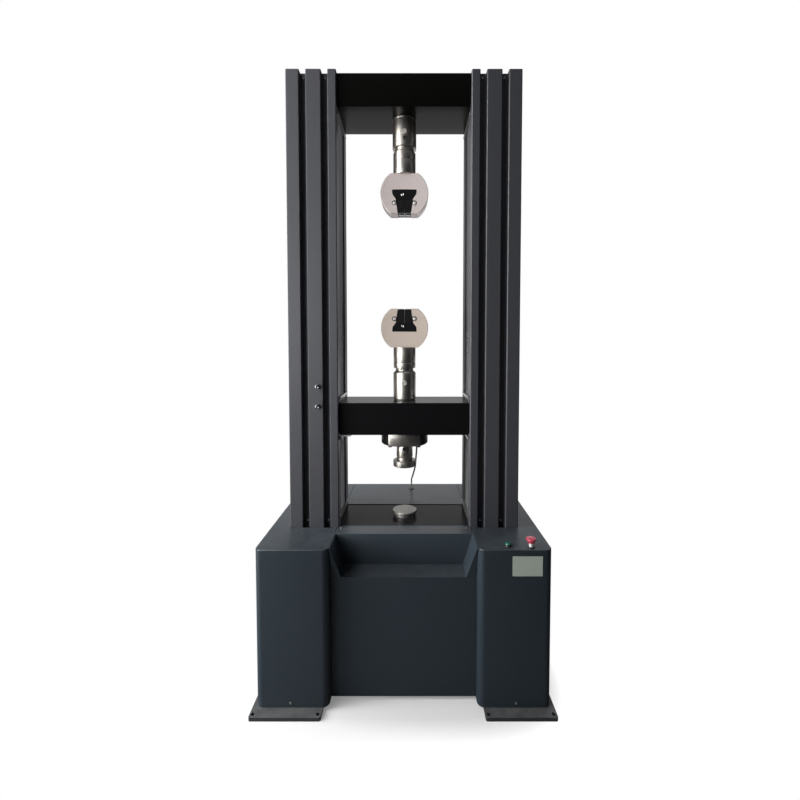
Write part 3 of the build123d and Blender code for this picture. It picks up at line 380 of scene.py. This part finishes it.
cut = reckon(turned_skin, "SUBTRACT", rings, 0.5)
smudges = waver(turned_skin, place, 42.0, 4.0)
soiled = reckon(turned_skin, "MULTIPLY_ADD", smudges, given["Smudge"], 1.0)
shade = reckon(turned_skin, "MULTIPLY_ADD", cut, given["Marks"], soiled)
rubbed = reckon(turned_skin, "MULTIPLY_ADD", smudges, given["Smudge"], given["Gloss"])
bitten = reckon(turned_skin, "MULTIPLY", given["Marks"], 0.4)
put_out(turned_skin, result, blend_colours(turned_skin, 1.0, given["Colour"], shade, "MULTIPLY"),
        reckon(turned_skin, "MULTIPLY_ADD", cut, bitten, rubbed), rings)
lathed = finisher(turned_skin, 0.15, 0.00008, {"Metallic": 1.0})


def ring(form, sides, radius, height, place, capped=False):
    """One ring of vertices across a screw's axis; gives its edges."""
    made = bmesh.ops.create_circle(form, cap_ends=capped, segments=sides, radius=radius,
                                   matrix=place @ Matrix.Translation((0, 0, height)))
    corners = set(made["verts"])
    return [edge for edge in form.edges if corners.issuperset(edge.verts)]


def cap_screw(form, place, radius, height, material=0):
    """A socket head whose outward direction is its place's Z: rim, bevelled top, hexagon hole."""
    old = set(form.faces)
    rings_made = [
        ring(form, 24, radius, 0, place, True),
        ring(form, 24, radius, 0.86 * height, place),
        ring(form, 24, 0.88 * radius, height, place),
        ring(form, 6, 0.52 * radius, height, place),
        ring(form, 6, 0.52 * radius, 0.35 * height, place, True),
    ]
    for lower, upper in zip(rings_made, rings_made[1:]):
        bmesh.ops.bridge_loops(form, edges=lower + upper)
    new = [face for face in form.faces if face not in old]
    bmesh.ops.recalc_face_normals(form, faces=new)
    for face in new:
        face.material_index = material


to_front, to_back, to_below = (Matrix.Rotation(turn, 4, "X") for turn in (math.pi / 2, -math.pi / 2, math.pi))
plated_screw = lathed("plated_screw", (0.42, 0.42, 0.43), Gloss=0.30, Marks=0.1)
form = bmesh.new()
for side in (-1, 1):
    cap_screw(form, Matrix.Translation((side * 0.439, -0.385, 0.033)) @ to_front, 0.005, 0.003)
    cap_screw(form, Matrix.Translation((side * 0.269, -0.193, base_top)), 0.005, 0.003)
    for x in (0.4225, 0.3315):
        for z in (0.660, 2.548):
            cap_screw(form, Matrix.Translation((side * x, -0.154, z)) @ to_front, 0.005, 0.003)
piece("cover_screw_heads", form, (plated_screw,), "cover_screws")


# Guide posts and ball screws: ground steel bars behind the bellows, in bearings at the bed and the top beam.
# The screws' threads show as a helix with the screws' own 10 mm lead.
dress(lathed("ground_post", (0.58, 0.58, 0.59), Gloss=0.16, Marks=0.1, Rings=900.0), "guide_posts", "limit_rod")
thread_skin, given, result, place = effect("thread_skin", {"Centre": (0.0, 0.0, 0.0), "Lead": 0.010, "Gloss": 0.25})
about = add(thread_skin, "VectorMath", {0: place, 1: given["Centre"]}, operation="SUBTRACT").outputs[0]
apart = add(thread_skin, "SeparateXYZ", {0: about}).outputs
turn = reckon(thread_skin, "DIVIDE", reckon(thread_skin, "ARCTAN2", apart[1], apart[0]), 2 * math.pi)
climb = reckon(thread_skin, "DIVIDE", apart[2], given["Lead"])
phase = reckon(thread_skin, "FRACT", reckon(thread_skin, "SUBTRACT", climb, turn))
ball_track = reckon(thread_skin, "PINGPONG", phase, 0.5)
groove = remap(thread_skin, ball_track, 0.10, 0.24, 0.0, 1.0)
track_gloss = reckon(thread_skin, "ADD", given["Gloss"], 0.08)
# The groove's floor is painted darker than the steel: painted shade in the thread.
put_out(thread_skin, result, blend_colours(thread_skin, groove, (0.30, 0.29, 0.28, 1), given["Colour"]),
        reckon(thread_skin, "MULTIPLY_ADD", groove, -0.08, track_gloss), groove)
threaded = finisher(thread_skin, 0.8, 0.002, {"Metallic": 1.0})
for node, x in (("ball_screw_left", -0.430), ("ball_screw_right", 0.430)):
    dress(threaded(node + "_steel", (0.55, 0.55, 0.55), Centre=(x, axis_y, 0.0)), node)


# Drive: a servo motor on a plate under the bed turns both screws through a toothed belt and two idlers.
# All of it is inside the cabinet; the controller is a plain sheet box at the back.
moulded_skin, given, result, place = effect("moulded_skin", {"Gloss": 0.45, "Grain": 2400.0, "Scuff": 0.08})
scuffs = waver(moulded_skin, place, 55.0, 5.0)
shade = reckon(moulded_skin, "MULTIPLY_ADD", scuffs, given["Scuff"], 1.0)
put_out(moulded_skin, result, blend_colours(moulded_skin, 1.0, given["Colour"], shade, "MULTIPLY"),
        reckon(moulded_skin, "MULTIPLY_ADD", scuffs, given["Scuff"], given["Gloss"]),
        speckle(moulded_skin, place, given["Grain"], 2.0))
moulded = finisher(moulded_skin, 0.15, 0.0001, {"IOR": 1.46})
dress(moulded("belt_rubber", (0.014, 0.014, 0.015), Gloss=0.6, Grain=900.0), "drive_belt")
dress(painted("motor_black", (0.016, 0.016, 0.018), Gloss=0.42), "servo_motor")
for node, x, y in (("motor_pulley", 0.0, 0.145), ("idler_left", -0.06415, 0.04715),
                   ("idler_right", 0.06415, 0.04715)):
    dress(lathed(node + "_steel", (0.50, 0.50, 0.51), Gloss=0.3, Centre=(x, y, 0.0)), node)
dress(painted("box_paint", (0.10, 0.11, 0.12), Gloss=0.5), "controller_box")


# Beams: the fixed top beam and the moving crosshead are steel bars in a deep gloss black paint.
# Their tongues reach through the columns to the posts and screws.
# Both beams wear the same paint; the fixed beam's black is set darker than the crosshead's, a painted shade.
for name, node, black in (("fixed_beam", "top_beam", (0.0016, 0.0016, 0.0013)),
                          ("moving_beam", "crosshead", (0.0045, 0.0044, 0.0050))):
    beam_gloss = painted(name + "_gloss", black, {"Specular IOR Level": 0.14}, Gloss=0.26, Smear=0.06, Dust=0.07,
                         Cloud=0.08)
    rounded(name, node, 0.0012, beam_gloss)
dress(lathed("nut_steel", (0.45, 0.45, 0.46), Gloss=0.3), "ball_nuts")
dress(lathed("bush_bronze", (0.58, 0.40, 0.20), Gloss=0.3), "guide_bushes")


# Bellows: pleated coated cloth that shields the posts and screws, 8.5 mm from fold to fold.
# Both curtains hang between plates; the real ones fold up or stretch as the crosshead moves, but here they are drawn
# at rest, taken off their bodies.
cloth_skin, given, result, place = effect("cloth_skin", {"Weave": 5200.0, "Gloss": 0.55})
warp = add(cloth_skin, "TexWave", {"Vector": place, "Scale": given["Weave"]}, bands_direction="Y").outputs[1]
weft = add(cloth_skin, "TexWave", {"Vector": place, "Scale": given["Weave"]}, bands_direction="DIAGONAL").outputs[1]
worn_folds = speckle(cloth_skin, place, 70.0, 5.0)
shade = remap(cloth_skin, worn_folds, 0.3, 0.7, 0.8, 1.2)
put_out(cloth_skin, result, blend_colours(cloth_skin, 1.0, given["Colour"], shade, "MULTIPLY"),
        reckon(cloth_skin, "MULTIPLY_ADD", worn_folds, 0.16, given["Gloss"]),
        reckon(cloth_skin, "MULTIPLY", warp, weft))
coated_cloth = finisher(cloth_skin, 0.2, 0.0001, {"Sheen Weight": 0.15})("coated_cloth", (0.085, 0.085, 0.090),
                                                                         Gloss=0.42)
fold_pitch = 0.0085
fold_depth = 0.010
fold_inner = 0.2865
curtain_front = -0.131
curtain_back = 0.016
cloth_thickness = 0.0008


def curtain(name, node, low, high):
    """A pair of pleated curtains: one zigzag drawn up each column, pulled back in depth, then thickened."""
    pleats = round((high - low) / fold_pitch)
    form = bmesh.new()
    for side in (-1, 1):
        folds = []
        for i in range(2 * pleats + 1):
            height = low + (high - low) * i / (2 * pleats)
            out = fold_inner + (fold_depth if i % 2 else 0)
            folds.append(form.verts.new((side * out, curtain_front, height)))
        lines = [form.edges.new(pair) for pair in zip(folds, folds[1:])]
        pulled = bmesh.ops.extrude_edge_only(form, edges=lines)["geom"]
        corners = [part for part in pulled if isinstance(part, bmesh.types.BMVert)]
        bmesh.ops.translate(form, verts=corners, vec=(0, curtain_back - curtain_front, 0))
        strip = {face for corner in corners for face in corner.link_faces}
        bmesh.ops.recalc_face_normals(form, faces=list(strip))
        first = next(iter(strip))
        if first.normal.x * side > 0:
            bmesh.ops.reverse_faces(form, faces=list(strip))
    bmesh.ops.solidify(form, geom=form.faces[:], thickness=cloth_thickness)
    return piece(name, form, (coated_cloth,), node)


upper_low, upper_high = 1.2043, 2.3957
lower_low, lower_high = 0.6803, 1.0167
upper_curtain = curtain("upper_curtains", "bellows_upper", upper_low, upper_high)
lower_curtain = curtain("lower_curtains", "bellows_lower", lower_low, lower_high)
for made, start_body, end_body, start, end in (
    (upper_curtain, "crosshead", "frame", upper_low, upper_high),
    (lower_curtain, "frame", "crosshead", lower_low, lower_high),
):
    made.parent = None
    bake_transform(made)


# Bellows plates: bent bright sheet clamped to the ends of each curtain, on the bed, beam and crosshead.
# The striker bracket, an angle with a bolt, hangs under the crosshead's left end.
plate_sheet = brushed("plate_sheet", (0.52, 0.52, 0.52), Stretch=(30.0, 700.0, 30.0), Gloss=0.34, Streak=0.15)
rounded("moving_plates", "bellows_plates", 0.0006, plate_sheet)
rounded("fixed_plates", "bellows_ends", 0.0006, plate_sheet)
rounded("striker_angle", "striker_bracket", 0.0006, painted("striker_grey", (0.30, 0.31, 0.32), Gloss=0.4))


# Limit knobs: knurled thumb knobs that clamp the two stops of the limit rod through the left column's rib.
# Turned from bar, with a dished face and a straight knurl.
def turned(form, profile, centre, steps=72, axis=(0, 0, 1), edge=0.0005, material=0):
    """Spin a line of (radius, height) points about an axis as a lathe does, and break its sharp rings."""
    old, old_faces = set(form.verts), set(form.faces)
    along = Vector(axis)
    out = along.orthogonal().normalized()
    foot = Vector(centre)
    line = [form.verts.new(foot + out * radius + along * height) for radius, height in profile]
    edges = [form.edges.new(pair) for pair in zip(line, line[1:])]
    bmesh.ops.spin(form, geom=line + edges, cent=centre, axis=along, steps=steps, angle=2 * math.pi,
                   use_merge=True)
    bmesh.ops.remove_doubles(form, verts=[vertex for vertex in form.verts if vertex not in old], dist=weld)
    made = [face for face in form.faces if not old.intersection(face.verts)]
    bmesh.ops.recalc_face_normals(form, faces=made)
    sharp = {side for face in made for side in face.edges if side.is_manifold and side.calc_face_angle() > 0.4}
    if edge:
        bmesh.ops.bevel(form, geom=list(sharp), offset=edge, affect="EDGES", segments=2, profile=0.5, material=-1,
                        clamp_overlap=True)
    for face in form.faces:
        if face not in old_faces:
            face.material_index = material


to_viewer = (0, -1, 0)
along_y = (math.pi / 2, 0, 0)
knob_x = -0.368
knurls = 32
knob_steel = lathed("knob_steel", (0.18, 0.18, 0.19), Gloss=0.28, Centre=(knob_x, 0, 1.2), Turn=along_y, Marks=0.15)
for node, height in (("limit_knob_upper", 1.250), ("limit_knob_lower", 1.165)):
    form = bmesh.new()
    turned(form, ((0, 0.014), (0.0045, 0.014), (0.0065, 0.0145), (0.0088, 0.0135), (0.0095, 0.0120),
                  (0.0095, 0.0030), (0.0085, 0.0015), (0.0075, 0.0003), (0.004, 0.0003), (0.004, -0.050),
                  (0, -0.050)), (knob_x, -0.184, height), 2 * knurls, to_viewer, 0)
    for vertex in form.verts:
        spoke = Vector((vertex.co.x - knob_x, 0, vertex.co.z - height))
        turn = round(math.atan2(spoke.z, spoke.x) / (math.pi / knurls))
        if spoke.length > 0.0094 and turn % 2:
            vertex.co -= spoke * 0.05
    piece(node + "_knurled", form, (knob_steel,), node)


# Couplings: turned steel adapters that join the grips to the beams, each held by a cross pin.
# The upper one has a set screw hole in front, drawn as a near-black disc of painted shade; the lower one has small
# screws round its waist.
coupling_steel = lathed("coupling_steel", (0.47, 0.445, 0.41), Gloss=0.37, Centre=(0, axis_y, 0), Marks=0.22,
                        Rings=1100.0)
pin_steel = lathed("pin_steel", (0.42, 0.40, 0.375), {"Metallic": 0.35}, Gloss=0.5, Turn=along_y, Marks=0.1)
# Holes are not cut: their mouths are near-black discs, a painted shade.
hole_painted_shade = moulded("hole_painted_shade", (0.006, 0.006, 0.006), Gloss=0.7)


def hole_shade_disc(form, radius, x, z, surface_y, material, depth=0.0004):
    """A near-black disc, a hair proud of a turned face: painted shade where a blind hole's mouth is."""
    turned(form, ((0, depth), (radius, depth), (radius, -0.004), (0, -0.004)),
           (x, surface_y, z), 24, to_viewer, 0, material)


def cross_pin(form, z, radius, material):
    """The cross pin through a coupling, chamfered and dimpled at both ends."""
    half = radius + 0.0015
    turned(form, ((0, -half + 0.002), (0.003, -half), (0.0110, -half), (0.0125, -half + 0.0015),
                  (0.0125, half - 0.0015), (0.0110, half), (0.003, half), (0, half - 0.002)),
           (0, axis_y, z), 48, to_viewer, 0.0003, material)


form = bmesh.new()
turned(form, ((0, 0), (0.0530, 0), (0.0530, -0.0060), (0.0522, -0.0070), (0.0530, -0.0080), (0.0530, -0.1255),
              (0.0515, -0.1270), (0.0430, -0.1270), (0.0430, -0.1420), (0.0460, -0.1420), (0.0500, -0.1470),
              (0.0500, -0.1810), (0.0490, -0.1820), (0.0490, -0.1835), (0.0500, -0.1845), (0.0500, -0.2430),
              (0, -0.2430)), (0, axis_y, 2.428), 96)
cross_pin(form, 2.359, 0.053, 1)
hole_shade_disc(form, 0.0085, 0.002, 2.331, axis_y - 0.0529, 2, 0.0006)
piece("upper_adapter", form, (coupling_steel, pin_steel, hole_painted_shade), "upper_coupling")

form = bmesh.new()
turned(form, ((0, 0), (0.0470, 0), (0.0470, 0.0050), (0.0495, 0.0050), (0.0510, 0.0065), (0.0510, 0.0110),
              (0.0510, 0.1245), (0.0400, 0.1350), (0.0400, 0.1460), (0.0500, 0.1462), (0.0500, 0.1690),
              (0.0490, 0.1700), (0.0490, 0.1715), (0.0500, 0.1725), (0.0500, 0.2390), (0, 0.2390)),
       (0, axis_y, 1.177 + hair), 96)
cross_pin(form, 1.257, 0.051, 1)
for i in range(8):
    turn = Matrix.Rotation(math.pi * (2 * i + 1) / 8, 4, "Z")
    place = Matrix.Translation((0, axis_y, 1.3175)) @ turn @ Matrix.Translation((0, -0.0385, 0)) @ to_front
    cap_screw(form, place, 0.0035, 0.002, 2)
piece("lower_adapter", form, (coupling_steel, pin_steel, hole_painted_shade), "lower_coupling")


# Wedge grips: round steel bodies lying on their sides, nickel plated, with a tapered window for two jaws.
# A blackened keeper plate closes the wide end of the window over each jaw, held by one bright screw.
grips = (("upper", 2.098, 1), ("lower", 1.503, -1))
nickel_tones = {"upper": (0.68, 0.60, 0.58), "lower": (0.64, 0.545, 0.475)}
keeper_half, keeper_low, keeper_high, keeper_in = 0.0555, -0.0241, 0.0159, 0.0350
keeper_black = painted("keeper_black", (0.0065, 0.0060, 0.0070), {"Specular IOR Level": 0.25}, Gloss=0.34)
bright_screw = lathed("bright_screw", (0.66, 0.66, 0.67), Gloss=0.2, Turn=along_y, Marks=0.1)
for level, middle, way in grips:
    nickel = brushed(level + "_nickel", nickel_tones[level], {"Metallic": 0.3}, Stretch=(240.0, 240.0, 240.0),
                     Gloss=0.46, Streak=0.12)
    form = faced(level + "_grip")
    for face in form.faces:
        narrow = all(abs(corner.co.x) < keeper_half for corner in face.verts)
        outer = all(abs(corner.co.y - axis_y) > keeper_in for corner in face.verts)
        inside = keeper_low < way * (face.calc_center_median().z - middle) < keeper_high
        face.material_index = 1 if narrow and outer and inside else 0
    for face_y, turn in ((-0.085, to_front), (-0.009, to_back)):
        place = Matrix.Translation((-0.008, face_y, middle - way * 0.008)) @ turn
        cap_screw(form, place, 0.0065, 0.004, 2)
    piece(level + "_grip_body", form, (nickel, keeper_black, bright_screw), level + "_grip")


def sliced(form, geometry, point, away, material):
    """Cut closed geometry by a plane, throw the far side away and close the cut."""
    cut = bmesh.ops.bisect_plane(form, geom=geometry, plane_co=point, plane_no=away, clear_outer=True)
    rim = [part for part in cut["geom_cut"] if isinstance(part, bmesh.types.BMEdge)]
    bmesh.ops.contextual_create(form, geom=rim, mat_nr=material)


ear_side, ear_height, wall_in, wall_slope = 0.0450, -0.042, 0.0083, math.tan(math.radians(8.1))
ear_steel = lathed("ear_steel", (0.66, 0.65, 0.63), {"Metallic": 0.4}, Gloss=0.4, Turn=along_y)
for level, middle, way in grips:
    form = bmesh.new()
    for side in (-1, 1):
        ear = (side * ear_side, axis_y, middle + way * ear_height)
        # A black ring, cut off at the window's wall, is drawn round each pin in its bore.
        old = set(form.verts)
        turned(form, ((0, 0.0340), (0.0113, 0.0340), (0.0115, 0.0335), (0.0115, -0.0335), (0.0113, -0.0340),
                      (0, -0.0340)), ear, 32, to_viewer, 0, 1)
        black_ring = [vertex for vertex in form.verts if vertex not in old]
        edges = {edge for vertex in black_ring for edge in vertex.link_edges}
        faces = {face for vertex in black_ring for face in vertex.link_faces}
        sliced(form, [*black_ring, *edges, *faces], (side * (ear_side - wall_in), 0, ear[2]),
               (-side, 0, way * wall_slope), 1)
        turned(form, ((0, 0.0362), (0.0050, 0.0362), (0.0072, 0.0350), (0.0072, -0.0350), (0.0050, -0.0362),
                      (0, -0.0362)), ear, 32, to_viewer, 0)
    piece(level + "_ear_pins", form, (ear_steel, keeper_black), level + "_grip_pins")


# Jaws: wedges of blackened tool steel that slide in the windows and close on the specimen.
# Their gripping faces are cut with cross teeth, and their mouth ends are ground bright.
jaw_black = cast("jaw_black", (0.0070, 0.0065, 0.0075), {"Specular IOR Level": 0.3}, Gloss=0.38, Grain=900.0)
tooth_edges = 69
tooth_depth = 0.0002
near_middle = 0.001
for level, middle, way in grips:
    for hand, side in (("left", -1), ("right", 1)):
        node = f"{level}_jaw_{hand}"
        form = faced(node)
        inner = next(face for face in form.faces
                     if abs(face.normal.x) > 0.99 and abs(face.calc_center_median().x) < near_middle)
        upright = [edge for edge in inner.edges if abs(edge.verts[0].co.z - edge.verts[1].co.z) > 0.01]
        bmesh.ops.subdivide_edges(form, edges=upright, cuts=tooth_edges, use_grid_fill=True)
        bite = [vertex for vertex in form.verts if abs(vertex.co.x) < near_middle]
        rows = sorted({round(vertex.co.z, 6) for vertex in bite})
        for vertex in bite:
            if rows.index(round(vertex.co.z, 6)) % 2:
                vertex.co.x += side * tooth_depth
        turned(form, ((0, 0.0006), (0.0110, 0.0006), (0.0116, 0), (0.0116, -0.003), (0, -0.003)),
               (side * 0.0150, -0.050, middle - way * 0.0870), 32, (0, 0, -way), 0, 1)
        piece(node + "_toothed", form, (jaw_black, bright_screw), node)


# Load cell: a blackened steel disc bolted up under the crosshead, with a bright ground face in front, a hub,
# a round stem and the upper compression platen, turned and ground bright.
cell_radius = 0.1062
cell_flat = 0.0800
cell_low, cell_high = 0.980, 1.037
crown_radius = 0.200
crown_deep = 0.020
cell_steel = lathed("cell_steel", (0.52, 0.49, 0.45), Gloss=0.36, Centre=(0, axis_y, 0), Marks=0.2)
bolt_black = painted("bolt_black", (0.012, 0.012, 0.013), {"Metallic": 0.5}, Gloss=0.4)
form = bmesh.new()
turned(form, ((0, 0), (cell_radius, 0), (cell_radius, -0.0525), (cell_radius - 0.0045, -0.0570), (0, -0.0570)),
       (0, axis_y, cell_high + hair), 120, material=1)
sliced(form, [*form.verts, *form.edges, *form.faces], (0, axis_y - cell_flat, 0), to_viewer, 1)
hub = set(form.faces)
half_width = math.sqrt(cell_radius ** 2 - cell_flat ** 2)
swing = math.asin(half_width / crown_radius)
pivot = Vector((0, axis_y - cell_flat + crown_radius * math.cos(swing), 0))
arm = Matrix.Rotation(-swing, 3, "Z") @ Vector(to_viewer)
crown_inner = crown_radius - crown_deep
slab = form.faces.new([form.verts.new(pivot + arm * length + Vector((0, 0, height))) for length, height in (
    (crown_radius, cell_low), (crown_radius, cell_high), (crown_inner, cell_high), (crown_inner, cell_low))])
bmesh.ops.spin(form, geom=[slab, *slab.edges, *slab.verts], cent=pivot, axis=(0, 0, 1), steps=24, angle=2 * swing)
crowned = [face for face in form.faces if face not in hub]
bmesh.ops.recalc_face_normals(form, faces=crowned)
bmesh.ops.bevel(form, geom=[edge for edge in {edge for face in crowned for edge in face.edges}
                            if edge.is_manifold and edge.calc_face_angle() > 0.9],
                offset=0.0008, affect="EDGES", segments=2, profile=0.5, material=-1)
turned(form, ((0, 0), (0.0420, 0), (0.0420, -0.0075), (0.0400, -0.0100), (0, -0.0100)), (0, axis_y, cell_low))
for x, y in ((-0.064, -0.105), (0.064, -0.105), (-0.064, 0.011), (0.064, 0.011)):
    cap_screw(form, Matrix.Translation((x, y, cell_low)) @ to_below, 0.0085, 0.009, 1)
piece("cell_body", form, (cell_steel, bolt_black), "load_cell")
form = bmesh.new()
turned(form, ((0, 0), (0.0370, 0), (0.0370, -0.054), (0.0355, -0.0555), (0.0355, -0.0600), (0.0370, -0.0615),
              (0.0370, -0.0700), (0, -0.0700)), (0, axis_y, 0.970 + hair))
# Two holes in the stem's front are near-black discs of painted shade.
hole_shade_disc(form, 0.0085, -0.001, 0.957, axis_y - 0.0369, 1, 0.0008)
hole_shade_disc(form, 0.0040, -0.001, 0.930, axis_y - 0.0369, 1, 0.0005)
piece("stem_bar", form, (cell_steel, hole_painted_shade), "load_stem")
platen_steel = lathed("platen_steel", (0.44, 0.425, 0.40), Gloss=0.40, Centre=(0, axis_y, 0), Marks=0.5, Smudge=0.4,
                      Rings=1400.0)
form = bmesh.new()
turned(form, ((0, 0), (0.0500, 0), (0.0520, -0.002), (0.0520, -0.0260), (0.0500, -0.0280), (0.0400, -0.0280),
              (0.0397, -0.0275), (0.0394, -0.0280), (0.0300, -0.0280), (0.0297, -0.0275), (0.0294, -0.0280),
              (0.0200, -0.0280), (0.0197, -0.0275), (0.0194, -0.0280), (0, -0.0280)),
       (0, axis_y, 0.900 + hair), 96, edge=0.0002)
piece("upper_press_plate", form, (platen_steel,), "upper_platen")


# Lower platen: a hardened disc on a narrower foot, standing on the worktable.
# Fine rings on its face help to centre a specimen.
form = bmesh.new()
turned(form, ((0, 0), (0.0500, 0), (0.0500, 0.0120), (0.0485, 0.0130), (0.0485, 0.0150), (0.0545, 0.0160),
              (0.0555, 0.0170), (0.0555, 0.0240), (0.0535, 0.0260), (0.0450, 0.0260), (0.0447, 0.0255),
              (0.0444, 0.0260), (0.0350, 0.0260), (0.0347, 0.0255), (0.0344, 0.0260), (0.0250, 0.0260),
              (0.0247, 0.0255), (0.0244, 0.0260), (0.0150, 0.0260), (0.0147, 0.0255), (0.0144, 0.0260),
              (0, 0.0260)), (0, axis_y, base_top), 96, edge=0.0002)
piece("lower_press_plate", form, (platen_steel,), "lower_platen")


# Start button: a green domed cap in a black bezel, pressed down to start the machine.
# Moulded and polished; its bezel screws down on the tower's top.
start_place, stop_place = (0.410, -0.352), (0.497, -0.361)
button_green = moulded("button_green", (0.005, 0.068, 0.050), {"IOR": 1.5, "Coat Weight": 0.6}, Gloss=0.22,
                       Scuff=0.05)
form = bmesh.new()
turned(form, ((0, 0.0165), (0.0040, 0.0161), (0.0075, 0.0150), (0.0104, 0.0132), (0.0124, 0.0110),
              (0.0132, 0.0094), (0.0132, 0.0088), (0.0125, 0.0084), (0.0100, 0.0084), (0.0100, -0.0200),
              (0, -0.0200)), (*start_place, base_top), 48, edge=0)
piece("green_cap", form, (button_green,), "start_button")
bezel_black = moulded("bezel_black", (0.016, 0.016, 0.017), Gloss=0.3)
form = bmesh.new()
for place, height, bore in ((start_place, 0.005, 0.0103), (stop_place, 0.004, 0.0083)):
    turned(form, ((bore, -0.037), (0.0110, -0.040), (0.0110, 0), (0.0140, 0), (0.0140, 0.5 * height),
                  (0.0128, height), (bore + 0.0006, height), (bore, height - 0.0008), (bore, -0.037)),
           (*place, base_top), 48, edge=0.0002)
piece("bezels", form, (bezel_black,), "button_collars")


# Emergency stop: a red mushroom head on a pale stem, pushed to stop and twisted to release.
# Its head is an upturned cone, wide at the top, with a low crown.
button_red = moulded("button_red", (0.35, 0.038, 0.068), {"IOR": 1.5, "Coat Weight": 0.4}, Gloss=0.28, Scuff=0.08)
form = bmesh.new()
turned(form, ((0.0081, 0), (0.0120, 0), (0.0134, 0.0010), (0.0152, 0.0060), (0.0182, 0.0115), (0.0197, 0.0138),
              (0.0200, 0.0155), (0.0190, 0.0173), (0.0150, 0.0184), (0.0090, 0.0189), (0, 0.0190)),
       (*stop_place, base_top + 0.018), 64, edge=0)
piece("red_head", form, (button_red,), "estop_head")
form = bmesh.new()
turned(form, ((0, -0.0200), (0.0080, -0.0200), (0.0080, 0.0060), (0.0074, 0.0066), (0.0074, 0.0084),
              (0.0080, 0.0090), (0.0080, 0.0275), (0, 0.0275)), (*stop_place, base_top), 48, edge=0.0003)
piece("pale_stem", form, (moulded("stem_grey", (0.50, 0.48, 0.48), Gloss=0.4),), "estop_stem")


# Load cell cable: a round rubber-jacketed signal lead, 0.5 m from the gland under the cell to the base.
# It hangs free, bends to the rear and goes into a grommet behind the worktable.
gland_grey = moulded("gland_grey", (0.024, 0.030, 0.036), Gloss=0.36)
form = bmesh.new()
turned(form, ((0, 0), (0.0080, 0), (0.0080, -0.0060), (0.0072, -0.0070), (0.0072, -0.0110), (0.0060, -0.0150),
              (0.0048, -0.0180), (0, -0.0180)), (0.057, 0.016, 0.990 + hair), 24, edge=0.0003)
piece("cell_gland", form, (gland_grey,), "cable_gland")
form = bmesh.new()
turned(form, ((0.0043, -0.028), (0.0043, 0.0022), (0.0055, 0.0030), (0.0125, 0.0030), (0.0140, 0.0018),
              (0.0140, 0), (0.0090, 0), (0.0090, -0.010), (0.0090, -0.028), (0.0043, -0.028)),
       (0.032, 0.305, base_top), 32, edge=0)
piece("base_grommet", form, (gland_grey,), "cable_grommet")
cable_diameter = 0.008
cable_points = (
    (0.057, 0.016, 0.972),
    (0.057, 0.016, 0.934),
    (0.053, 0.028, 0.886),
    (0.050, 0.045, 0.838),
    (0.043, 0.074, 0.804),
    (0.040, 0.115, 0.779),
    (0.037, 0.156, 0.756),
    (0.034, 0.201, 0.734),
    (0.032, 0.246, 0.713),
    (0.032, 0.285, 0.696),
    (0.032, 0.305, 0.664),
    (0.032, 0.305, 0.618),
)


def laid_curve(name, thickness):
    """A smooth curve along the cable's route, of the given thickness."""
    route = bpy.data.curves.new(name, "CURVE")
    route.dimensions = "3D"
    route.resolution_u = 12
    route.bevel_depth = thickness / 2
    route.bevel_resolution = 4
    route.use_fill_caps = thickness > 0
    spline = route.splines.new("NURBS")
    spline.points.add(len(cable_points) - 1)
    for point, place in zip(spline.points, cable_points):
        point.co = (*place, 1)
    spline.order_u = 3
    spline.use_endpoint_u = True
    return bpy.data.objects.new(name, route)


def as_mesh(curve_object, name):
    """A mesh made from a curve object, which is then thrown away."""
    scene.collection.objects.link(curve_object)
    bpy.context.view_layer.update()
    mesh = bpy.data.meshes.new_from_object(curve_object)
    mesh.name = name
    bpy.data.objects.remove(curve_object)
    return mesh


cable_line = as_mesh(laid_curve("cable_line", 0), "cable_line")
cable_mesh = as_mesh(laid_curve("cable_tube", cable_diameter), "load_cell_lead")
cable = bpy.data.objects.new("load_cell_lead", cable_mesh)
scene.collection.objects.link(cable)
for face in cable_mesh.polygons:
    face.use_smooth = True
cable_mesh.materials.append(moulded("cable_jacket", (0.27, 0.26, 0.245), Gloss=0.42, Grain=1600.0))
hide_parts("load_cell_cable")
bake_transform(cable)
